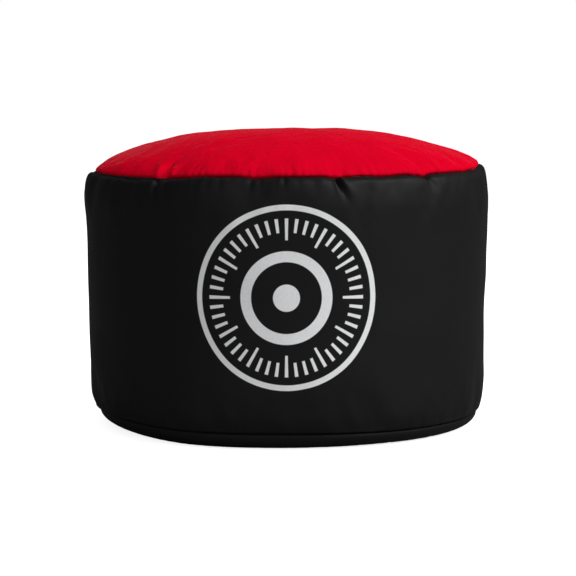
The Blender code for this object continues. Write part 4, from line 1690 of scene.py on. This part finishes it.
@dataclass
class Recess:
    """The filling mouth under the bag and the recess round it that takes the flap."""

    shop: Workshop
    margin: float = 0.0015
    gap: float = 0.0003
    mouth_x: float = 0.11925
    mouth_y: float = 0.0085
    corner: float = 0.003
    mouth_corner: float = 0.002
    least_corner: float = 0.0004
    spacing: Spacing = Spacing(0.0006, 0.0024, 0.16)
    hem_bend: tuple = ((0.0, 0.0012), (0.0001, 0.0005), (0.0005, 0.0001), (0.0012, 0.0))
    roof_bend: tuple = ((-0.0016, 0.0), (-0.0007, -0.0002), (-0.0002, -0.0008), (0.0, -0.0018))
    floor_bend: tuple = ((0.0, 0.0018), (0.0003, 0.0008), (0.0010, 0.0002), (0.0022, 0.0))
    roof_loops: int = 9
    floor_loops: int = 30
    floor_crowding: float = 0.9
    rim_loops: int = 14
    rim_top_share: float = 0.80
    pinch_shares: tuple = ((0.75, 0.87), (0.25, 0.93), (-0.4, 0.98))
    hem_rises: tuple = (0.0010, 0.0035, 0.0075, 0.012)
    unevenness: BaseUnevenness = BaseUnevenness()
    stitch_outsets: tuple[float, float] = (0.0030, 0.0085)

    def __post_init__(self) -> None:
        """Reads the recess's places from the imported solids."""
        flap_low, flap_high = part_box("closure_flap")
        self.roof_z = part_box("hook_strip")[1].z + self.gap
        self.half_x = flap_high.x + self.margin
        self.front = -flap_low.y + self.margin
        self.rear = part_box("flap_root")[1].y + self.gap

    def base_half(self, name: str, side: int, skin: Skin) -> Mesh:
        """One half of the base, from the mouth's hem through the recess and over the floor to the foot seam.

        Args:
            name: the mesh's name.
            side: -1 for front, 1 for rear.
            skin: the bag's skin, whose foot it meets.

        Returns:
            The mesh.
        """
        rim = math.pi * skin.base_edge
        shares = self.spacing.over(rim) / rim
        recess_y = self.front if side < 0 else self.rear
        loops, levels = [], []

        def add(loop: Array, level: Array | float) -> None:
            """Adds a loop at a height."""
            loops.append(loop)
            levels.append(np.zeros(len(shares)) + level)

        def ring(half_x: float, half_y: float, corner: float, bend: tuple, level: float) -> None:
            """Adds the loops of a bend, each at a distance outside an edge and a height over a level."""
            for outset, rise in bend:
                rounding = max(self.least_corner, corner + outset)
                add(half_loop(half_x + outset, half_y + outset, rounding, side, shares), level + rise)

        ring(self.mouth_x, self.mouth_y, self.mouth_corner, self.hem_bend, self.roof_z)
        inset = self.roof_bend[0][0]
        inner = loops[-1]
        edge = half_loop(self.half_x + inset, recess_y + inset, self.corner, side, shares)
        for share in np.linspace(0, 1, self.roof_loops + 1)[1:-1]:
            add(inner * (1 - share) + edge * share, self.roof_z)
        ring(self.half_x, recess_y, self.corner, self.roof_bend, self.roof_z)
        ring(self.half_x, recess_y, self.corner, self.floor_bend, 0.0)
        inner = loops[-1]
        turn = shares * math.pi
        circle = np.stack([np.cos(turn), side * np.sin(turn)], -1)
        phi = np.arctan2(circle[:, 0], -circle[:, 1])
        raised, out, rest = skin.foot(phi)
        for share in (np.arange(1, self.floor_loops + 1) / self.floor_loops) ** self.floor_crowding:
            add(inner * (1 - share) + circle * rest[:, None] * share, 0.0)
        rise = skin.foot_z + raised
        seam = skin.base_edge + out
        for turn_up in np.linspace(0, math.pi / 2, self.rim_loops + 1)[1:]:
            reach = rest + (seam + skin.rim_bulge - rest) * math.sin(turn_up)
            add(circle * reach[:, None], self.rim_top_share * rise * (1 - math.cos(turn_up)))
        for share, up in self.pinch_shares:
            deep = share * (skin.rim_bulge if share > 0 else skin.rim_pinch)
            add(circle * (seam + deep)[:, None], up * rise)
        for lift in self.hem_rises:
            add(circle * (seam - skin.rim_pinch)[:, None], rise + lift)
        flat, level = np.stack(loops), np.stack(levels)
        radius = np.linalg.norm(flat, axis=-1)
        off_seam = np.abs(radius - skin.base_edge)[:, len(shares) // 2]
        lie = self.unevenness
        tucks = np.maximum(skin.creased(skin.base_puckers.around(), phi, off_seam), -lie.deepest_tuck)
        tucks *= (radius > rest - lie.tuck_band) & (level <= rise)
        points = lie.laid(flat, level, rest, np.abs(tucks) * lie.tuck_share, self.half_x)
        return grid_mesh(name, points, flat, flip=side < 0)

    def sew(self, thread: Thread) -> None:
        """Two rows of stitches round the mouth's hem."""
        lines: list[Array] = []
        for outset in self.stitch_outsets:
            reach = self.mouth_y + outset
            lines += rectangle(self.mouth_x + outset / 2, -reach, reach, self.roof_z)
        thread.sew(self.shop, "mouth_stitches", lines, -1, Body.ROOT)


@dataclass
class Strips:
    """The hook and loop strips: woven backings, nylon hooks, yarn loops and the stitches round them."""

    shop: Workshop
    width_spacing: Spacing = Spacing(0.0006, 0.003, 0.2)
    spacing: Spacing = Spacing(0.0005, 0.0015, 0.3)
    backing: float = 0.0006
    seam_inset: float = 0.0014
    tuft_margin: float = 0.0012
    first_tuft: float = 0.0016
    tuft_scatter: float = 0.15
    tuft_sink: float = 0.0001
    hook_pitch: float = 0.0017
    hook_height: float = 0.0011
    hook_shares: tuple = ((0, 0), (0, -0.5), (0.10, -0.86), (0.34, -0.98), (0.50, -0.72))
    hook_radii: tuple = (0.00013, 0.00012, 0.00011, 0.00011, 0.00007)
    loop_pitch: float = 0.00135
    loop_sizes: tuple[float, float] = (0.00040, 0.00062)
    loop_rise: float = 1.8
    loop_radius: float = 0.00007
    loop_points: int = 6
    hook_sides: int = 5
    loop_sides: int = 4
    hook_seed: int = 61
    loop_seed: int = 63
    turn_seed: int = 62

    def __post_init__(self) -> None:
        """Reads the strips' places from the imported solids."""
        self.hook_low, self.hook_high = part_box("hook_strip")
        self.loop_low, self.loop_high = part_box("loop_strip")

    def strip(
        self, name: str, low: Vector, high: Vector, finish: Finish, slot: str, body: Body, node: str
    ) -> None:
        """A woven strip with rounded edges, in the box between two corners.

        Args:
            name: its name.
            low: the box's low corner.
            high: the box's high corner.
            finish: its finish.
            slot: the record's material slot.
            body: the body it rides on.
            node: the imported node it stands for.
        """
        across = low.x + self.width_spacing.over(high.x - low.x)
        along = low.y + self.spacing.over(high.y - low.y)
        x, y = np.meshgrid(across, along)
        cloth = np.stack([x, y], -1)
        upper, lower = (np.stack([x, y, np.full_like(x, level)], -1) for level in (high.z, low.z))
        self.shop.piece(pillow_mesh(name, upper, lower, cloth, high.z - low.z), finish, slot, body, (node,))

    def tufts(self, low: Vector, high: Vector, pitch: float, seed: int) -> Array:
        """Places for tufts over a strip, in staggered, slightly scattered rows."""
        rng = np.random.default_rng(seed)
        first, margin = self.first_tuft, self.tuft_margin
        x, y = np.meshgrid(*(np.arange(low[axis] + first, high[axis] - margin, pitch) for axis in (0, 1)))
        x[::2] += pitch / 2
        x[::2] = np.minimum(x[::2], high.x - margin)
        spots = np.stack([x.ravel(), y.ravel()], -1)
        return spots + rng.uniform(-self.tuft_scatter, self.tuft_scatter, spots.shape) * pitch

    def make(self) -> None:
        """The hook strip under the recess's roof and the loop strip on the flap."""
        tape = Cloth("strip_backing", CHARCOAL, pitch=0.0009, roughness=0.8)
        hook_low = Vector((self.hook_low.x, self.hook_low.y, self.hook_high.z - self.backing))
        self.strip("hook_backing", hook_low, self.hook_high, tape, "hook_pile", Body.ROOT, "hook_strip")
        loop_high = Vector((self.loop_high.x, self.loop_high.y, self.loop_low.z + self.backing))
        self.strip("loop_backing", self.loop_low, loop_high, tape, "loop_pile", Body.FLAP, "loop_strip")
        spots = self.tufts(self.hook_low, self.hook_high, self.hook_pitch, self.hook_seed)
        curl = np.array(self.hook_shares) * self.hook_height
        hooks = np.zeros((len(spots), len(curl), 3))
        hooks[..., 0] = spots[:, :1] + curl[:, 0] * np.where(np.arange(len(spots)) % 2, 1, -1)[:, None]
        hooks[..., 1] = spots[:, 1:]
        hooks[..., 2] = hook_low.z + self.tuft_sink + curl[:, 1]
        nylon = Moulded("hook_nylon", (0.012, 0.012, 0.013), 0.42)
        mesh = strand_mesh("hook_tips", hooks, self.hook_radii, self.hook_sides)
        self.shop.piece(mesh, nylon, "hook_pile", Body.ROOT)
        rng = np.random.default_rng(self.turn_seed)
        spots = self.tufts(self.loop_low, self.loop_high, self.loop_pitch, self.loop_seed)
        turn = rng.uniform(0, math.tau, len(spots))
        size = rng.uniform(*self.loop_sizes, len(spots))
        swing = np.linspace(0, math.pi, self.loop_points)
        loops = np.zeros((len(spots), len(swing), 3))
        reach = np.cos(swing)[None, :] * size[:, None]
        loops[..., 0] = spots[:, :1] + reach * np.cos(turn)[:, None]
        loops[..., 1] = spots[:, 1:] + reach * np.sin(turn)[:, None]
        loops[..., 2] = loop_high.z - self.tuft_sink + np.sin(swing)[None, :] * size[:, None] * self.loop_rise
        mesh = strand_mesh("loop_tips", loops, [self.loop_radius] * self.loop_points, self.loop_sides)
        yarn = Moulded("loop_yarn", (0.016, 0.016, 0.017), 0.85)
        self.shop.piece(mesh, yarn, "loop_pile", Body.FLAP)

    def seam(self, low: Vector, high: Vector, level: float) -> list[Array]:
        """The seam round a strip at a height."""
        inset = self.seam_inset
        return rectangle(high.x - inset, low.y + inset, high.y - inset, level)

    def sew(self, thread: Thread) -> None:
        """A row of stitches round each strip."""
        hook_lines = self.seam(self.hook_low, self.hook_high, self.hook_high.z - self.backing)
        thread.sew(self.shop, "hook_stitches", hook_lines, -1, Body.ROOT)
        loop_lines = self.seam(self.loop_low, self.loop_high, self.loop_low.z + self.backing)
        thread.sew(self.shop, "loop_stitches", loop_lines, 1, Body.FLAP)


@dataclass
class Flap:
    """The flap that covers the zip, hemmed all round and sewn to the recess's roof along its rear edge."""

    shop: Workshop
    bend: float = 0.0022
    corner: float = 0.012
    spacing: Spacing = Spacing(0.0007, 0.0026, 0.22)
    width_spacing: Spacing = Spacing(0.0007, 0.0030, 0.22)
    hem_width: float = 0.0085
    hem_edge: float = 0.0012
    hem_thickness: float = 0.00022
    seam_inset: float = 0.0066
    seam_width: float = 0.0006
    seam_depth: float = 0.00015
    seam_rear: float = 0.030
    stitch_sink: float = 0.0001
    swell: Swell = Swell(0.00012, 0.03, 51)
    blend_y: float = 0.0335

    def __post_init__(self) -> None:
        """Reads the flap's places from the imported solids."""
        self.low, self.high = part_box("closure_flap")
        self.root_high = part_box("flap_root")[1]

    def make(self) -> None:
        """The cloth flap, hemmed all round, whose rear edge turns up and is sewn to the recess's roof."""
        thick = self.high.z - self.low.z
        level = self.low.z + thick / 2
        root_y = self.root_high.y - thick / 2
        bend, corner, half = self.bend, self.corner, self.high.x
        path = [(self.low.y, level), (root_y - bend, level)]
        path += [(root_y, level + bend), (root_y, self.root_high.z)]
        points = eased(path, 4)
        length = lengths_along(points)[-1]
        rows = self.spacing.over(length)
        line = walk(points, rows)
        into = np.clip(corner - rows, 0, corner)
        reach = half - corner + np.sqrt(np.maximum(corner**2 - into**2, 0))
        across = (self.width_spacing.over(2 * half) / half - 1)[None, :] * reach[:, None]
        slope = directions(line)
        edge = np.minimum(rows[:, None], reach[:, None] - np.abs(across))
        inside = 1 - np.clip((self.hem_width - edge) / self.hem_edge, 0, 1)
        seam = hump(edge - self.seam_inset, self.seam_width)
        plain = np.stack(np.broadcast_arrays(across, rows[:, None], 0 * across), -1)
        sink = self.hem_thickness * inside + self.seam_depth * seam
        half_thick = thick / 2 - sink - np.abs(self.swell.at(plain)) * inside
        sheets = []
        for way in (1, -1):
            y = line[:, :1] - way * slope[:, 1:] * half_thick
            z = line[:, 1:] + way * slope[:, :1] * half_thick
            sheets.append(np.stack([across, y, z], -1))
        cloth = np.stack(np.broadcast_arrays(across, rows[:, None]), -1)
        mesh = pillow_mesh("flap_cloth", *sheets, cloth, thick)
        finish = Cloth("flap_cloth_black", BLACK)
        item = self.shop.piece(mesh, finish, "black_cloth", None, ("closure_flap", "flap_root"))
        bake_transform(item)
        2 * half

    def sew(self, thread: Thread, strips: Strips) -> None:
        """The loop strip's seam, where it shows on the flap's outside, and the hem's.

        Args:
            thread: what it is sewn with.
            strips: the strips, one of which is sewn on from inside.
        """
        outer = self.low.z + self.seam_depth
        lines = strips.seam(strips.loop_low, strips.loop_high, outer + self.stitch_sink)
        front, rear = self.low.y + self.seam_inset, self.seam_rear
        right, left = self.high.x - self.seam_inset, self.low.x + self.seam_inset
        lines += [np.array([(right, rear, outer), (right, front, outer)])]
        lines += [np.array([(left, front, outer), (left, rear, outer)])]
        thread.sew(self.shop, "flap_stitches", lines, -1, Body.FLAP)


@dataclass
class Zip:
    """The zip: woven tapes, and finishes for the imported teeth, stops, slider and tab."""

    shop: Workshop
    width_spacing: Spacing = Spacing(0.0008, 0.0032, 0.2)
    spacing: Spacing = Spacing(0.0005, 0.0018, 0.3)
    rib: float = 0.0012
    thinning: float = 0.00018
    tape_thickness: float = 0.0006
    tape_colour: Colour = (0.010, 0.010, 0.0105)
    tooth_edge: float = 0.00016
    stop_edge: float = 0.00030
    slider_edge: float = 0.00022

    def make_tapes(self) -> None:
        """The zip's woven tapes, each with a thicker edge by the teeth."""
        weave = Weave.HERRINGBONE
        finish = Cloth("zip_tape_cloth", self.tape_colour, 0.0010, weave, roughness=0.8, shine=0.15)
        for name, side in (("zip_tape_front", -1), ("zip_tape_rear", 1)):
            low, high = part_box(name)
            across = low.x + self.width_spacing.over(high.x - low.x)
            x, away = np.meshgrid(across, self.spacing.over(high.y - low.y))
            y = (low.y if side > 0 else high.y) + side * away
            rib = np.clip(1 - np.abs(away - self.rib) / self.rib, 0, 1)
            thin = self.thinning * (1 - rib)
            upper = np.stack([x, y, high.z - thin], -1)
            lower = np.stack([x, y, low.z + thin], -1)
            mesh = pillow_mesh(name + "_cloth", upper, lower, np.stack([x, away], -1), self.tape_thickness)
            self.shop.piece(mesh, finish, "black_tape", Body.ROOT, (name,))

    def dress(self) -> None:
        """Finishes for the teeth, stops, slider and tab."""
        plastic = Moulded("moulded_teeth", (0.020, 0.020, 0.021), 0.36)
        metal = Metal("plated_metal", (0.42, 0.42, 0.43), 0.34)
        for node in ("zip_teeth_front", "zip_teeth_rear"):
            self.shop.dress(node, plastic, self.tooth_edge)
        for node in ("zip_bottom_stop", "zip_top_stop_front", "zip_top_stop_rear"):
            self.shop.dress(node, metal, self.stop_edge)
        self.shop.dress("zip_slider", metal, self.slider_edge)
        self.shop.dress("zip_pull_tab", metal, self.stop_edge)


@dataclass
class Closure:
    """What closes the filling mouth under the bag, in the order in which it is made."""

    shop: Workshop

    def __post_init__(self) -> None:
        """Plans its parts."""
        self.recess = Recess(self.shop)
        self.strips = Strips(self.shop)
        self.flap = Flap(self.shop)
        self.zip = Zip(self.shop)

    def build(self) -> None:
        """Makes every piece but the base, which belongs to the skin."""
        thread = Thread()
        self.flap.make()
        self.strips.make()
        self.zip.make_tapes()
        self.recess.sew(thread)
        self.strips.sew(thread)
        self.flap.sew(thread, self.strips)
        self.zip.dress()


# Soft things inside


@dataclass(frozen=True)
class SoftPart:
    """How a soft inner solid is made finer: its longest edge, bumps, facets if any, and sinking."""

    node: str
    slot: str
    edge: float
    relief: float
    wavelength: float
    seed: int
    facets: int = 0
    sink: float = 0.0
    rounds: ClassVar[int] = 7
    flat_angle: ClassVar[float] = 0.002
    sharp_angle: ClassVar[float] = 50.0
    pocket_radius: ClassVar[float] = 0.145
    pocket_top: ClassVar[float] = 0.035
    pocket_ease: ClassVar[float] = 0.02
    pocket_rise: ClassVar[float] = 0.03

    def divided(self) -> bmesh.types.BMesh:
        """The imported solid's faces, cut up until no edge is longer than wanted."""
        bm = bmesh.new()
        bm.from_mesh(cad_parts[self.node].data)
        bmesh.ops.remove_doubles(bm, verts=bm.verts, dist=SAME_PLACE)
        bmesh.ops.dissolve_limit(bm, angle_limit=self.flat_angle, verts=bm.verts, edges=bm.edges)
        bmesh.ops.triangulate(bm, faces=bm.faces)
        for _ in range(self.rounds):
            long = [e for e in bm.edges if e.calc_length() > self.edge]
            if not long:
                break
            bmesh.ops.subdivide_edges(bm, edges=long, cuts=1)
            bmesh.ops.triangulate(bm, faces=[f for f in bm.faces if len(f.verts) > 3])
        bmesh.ops.recalc_face_normals(bm, faces=bm.faces)
        bm.normal_update()
        return bm

    def settled(self, points: Array, normals: Array) -> Array:
        """Its points, rounded where it was faceted, sunk away from the skin and gently uneven.

        Args:
            points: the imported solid's points.
            normals: their normals.

        Returns:
            The moved points.
        """
        if self.facets:
            facet = math.tau / self.facets
            off = np.arctan2(points[:, 1], points[:, 0]) % facet - facet / 2
            points[:, :2] *= (np.cos(off) / math.cos(facet / 2))[:, None]
        bumps = 0.5 + 0.5 * Ripple(self.wavelength, self.seed).at(points)
        depth = np.clip(self.relief * bumps, 0, self.relief)
        above = (points[:, 2] - self.pocket_top) / self.pocket_rise
        beside = (np.hypot(*points[:, :2].T) - self.pocket_radius) / self.pocket_ease
        depth += self.sink * np.clip(np.maximum(above, beside), 0, 1)
        outer = np.sign(((points - points.mean(axis=0)) * normals).sum(axis=1)) if self.sink else 1
        return points - normals * (depth * outer)[:, None]

    def mesh(self) -> Mesh:
        """The finer mesh, with cloth coordinates round the bag and up."""
        bm = self.divided()
        points = np.array([v.co for v in bm.verts])
        normals = np.array([v.normal for v in bm.verts])
        for vertex, point in zip(bm.verts, self.settled(points, normals)):
            vertex.co = point
        layer = bm.loops.layers.uv.new(CLOTH_MAP)
        for face in bm.faces:
            face.smooth = True
            for loop in face.loops:
                spot = loop.vert.co
                loop[layer].uv = (math.atan2(spot.x, -spot.y) * spot.xy.length, spot.z)
        mesh = bpy.data.meshes.new(self.node + "_soft")
        bm.to_mesh(mesh)
        bm.free()
        mesh.set_sharp_from_angle(angle=math.radians(self.sharp_angle))
        return mesh


@dataclass
class Inside:
    """The seam bindings, the liner with its spout and tie, and the sand."""

    shop: Workshop
    ring_facets: int = 52
    filling_facets: int = 36
    tie_edge: float = 0.0003

    def build(self) -> None:
        """Makes the bindings, the liner, the spout and the sand, and dresses the tie."""
        tape = Cloth("binding_tape", CHARCOAL, 0.0009, Weave.HERRINGBONE, roughness=0.8, shine=0.15)
        film = Film("liner_film_milky", (0.55, 0.57, 0.58))
        sand = Grains("sand_grains", (0.56, 0.43, 0.28), (0.34, 0.24, 0.14))
        ring, filling = self.ring_facets, self.filling_facets
        parts = (
            (SoftPart("top_seam_binding", "black_tape", 0.006, 0.00012, 0.012, 71, ring), tape),
            (SoftPart("bottom_seam_binding", "black_tape", 0.006, 0.00012, 0.012, 72, ring), tape),
            (SoftPart("back_seam_binding", "black_tape", 0.005, 0.0001, 0.012, 73), tape),
            (SoftPart("liner_bag", "liner_film", 0.012, 0.0005, 0.030, 74, filling, sink=0.0078), film),
            (SoftPart("liner_neck", "liner_film", 0.0035, 0.0006, 0.007, 75), film),
            (SoftPart("sand_fill", "dry_sand", 0.012, 0.0012, 0.028, 76, filling, sink=0.0090), sand),
        )
        for part, finish in parts:
            self.shop.piece(part.mesh(), finish, part.slot, Body.ROOT, (part.node,))
        self.shop.dress("neck_tie", Moulded("tie_nylon", (0.03, 0.03, 0.031), 0.45), self.tie_edge)


# Studio


@dataclass(frozen=True)
class Softbox:
    """A square lamp that looks at a point."""

    name: str
    place: tuple[float, float, float]
    size: float
    power: float
    glossy: bool = True
    aim: tuple[float, float, float] = (0.0, 0.0, 0.13)

    def build(self) -> None:
        """Hangs the lamp."""
        light = bpy.data.lights.new(self.name, "AREA")
        light.size = self.size
        light.energy = self.power
        item = placed(self.name, light)
        item.location = self.place
        item.rotation_euler = (Vector(self.aim) - Vector(self.place)).to_track_quat("-Z", "Y").to_euler()
        item.visible_glossy = self.glossy


@dataclass
class Studio:
    """The pale floor, the white surroundings, the lamps and the camera."""

    distance: float = 2.280
    elevation: float = 5.74
    field_of_view: float = 14.36
    aim_height: float = 0.1315
    frame_pixels: int = 576
    shift_pixels: float = 1.5
    sensor_width: float = 36.0
    ambient: float = 0.25
    floor_size: float = 40.0
    floor_drop: float = 0.0004
    floor_tone: Colour = (0.82, 0.82, 0.82)
    floor_glow: float = 0.835
    floor_bounce: float = 0.20
    floor_gloss: float = 0.19
    window_core: float = 0.160
    window_edge: float = 0.178
    gloss: float = 0.09
    lamps: tuple = (
        Softbox("key", (2.14, -1.00, 1.85), 1.6, 70.0),
        Softbox("fill", (-0.8, -2.4, 0.45), 1.6, 10.0),
        Softbox("top", (0.3, 0.4, 2.9), 1.8, 26.0, glossy=False),
        Softbox("back_left", (-1.6, 2.2, 1.0), 1.4, 8.0, glossy=False),
        Softbox("back_right", (1.6, 2.2, 1.0), 1.4, 8.0, glossy=False),
        Softbox("below", (0.0, 0.35, -2.1), 1.2, 34.0),
    )

    def make_camera(self) -> None:
        """The camera at the photograph's viewing angle."""
        camera = bpy.data.cameras.new("camera")
        camera.sensor_width = self.sensor_width
        camera.lens = self.sensor_width / 2 / math.tan(math.radians(self.field_of_view / 2))
        camera.shift_x = self.shift_pixels / self.frame_pixels
        item = placed("camera", camera)
        tilt = math.radians(self.elevation)
        item.location = (0, -self.distance * math.cos(tilt), self.aim_height + self.distance * math.sin(tilt))
        item.rotation_euler = (math.pi / 2 - tilt, 0, 0)
        bpy.context.scene.camera = item

    def make_world(self) -> None:
        """White where the camera or glass sees it, and an even light for the rest."""
        graph = Graph(bpy.data.worlds.new("surroundings"))
        white = 0.0
        strengths = {"Camera": 1.0, "Transmission": 1.0, "Diffuse": self.ambient, "Glossy": self.gloss}
        for kind, strength in strengths.items():
            white = graph.ray(kind) * strength + white
        light = graph.node("Background", None, {"Color": WHITE, "Strength": white})
        bpy.context.scene.world = graph.end(light, "OutputWorld")

    def make_floor(self) -> None:
        """A pale floor that reads as white and keeps the bag's shadow.

        It is clear when seen from below, and lets the lamp below reach the base through a round window.
        """
        half = self.floor_size / 2
        corners = [(-half, -half, 0), (half, -half, 0), (half, half, 0), (-half, half, 0)]
        mesh = bpy.data.meshes.new("floor")
        mesh.from_pydata(corners, [], [(0, 1, 2, 3)])
        item = placed("floor", mesh)
        item.location.z = -self.floor_drop
        graph = Graph.of_material("pale_floor")
        pale = graph.node("BsdfDiffuse", None, {"Color": self.floor_tone})
        glow = graph.node("Emission", None, {"Color": WHITE, "Strength": self.floor_glow})
        both = graph.node("AddShader", None, {0: pale, 1: glow})
        grey = graph.ray("Diffuse") * self.floor_bounce + self.floor_gloss
        dull = graph.node("BsdfDiffuse", None, {"Color": graph.joined(grey, grey, grey)})
        lit = graph.node("MixShader", None, {0: graph.ray("Camera"), 1: dull, 2: both})
        x, y, _ = graph.parts(graph.node("NewGeometry"))
        window = (x * x + y * y).maths("SQRT").ramp(self.window_edge, self.window_core)
        behind = graph.node("NewGeometry", None, None, "Backfacing")
        under = behind.maths("MAXIMUM", window * graph.ray("Shadow"))
        clear = graph.node("BsdfTransparent", None, {"Color": WHITE})
        graph.end(graph.node("MixShader", None, {0: under, 1: lit, 2: clear}))
        mesh.materials.append(graph.owner)

    def build(self) -> None:
        """Sets up the studio."""
        self.make_camera()
        self.make_world()
        self.make_floor()
        for lamp in self.lamps:
            lamp.build()
        bpy.context.scene.view_settings.view_transform = "Standard"


def main() -> None:
    """Builds every piece and the studio."""
    logging.basicConfig(level=logging.INFO, format="%(name)s: %(message)s")
    Studio().build()
    shop = Workshop()
    closure = Closure(shop)
    Skin(shop).build(closure.recess)
    closure.build()
    Inside(shop).build()


if __name__ == "__main__":
    main()
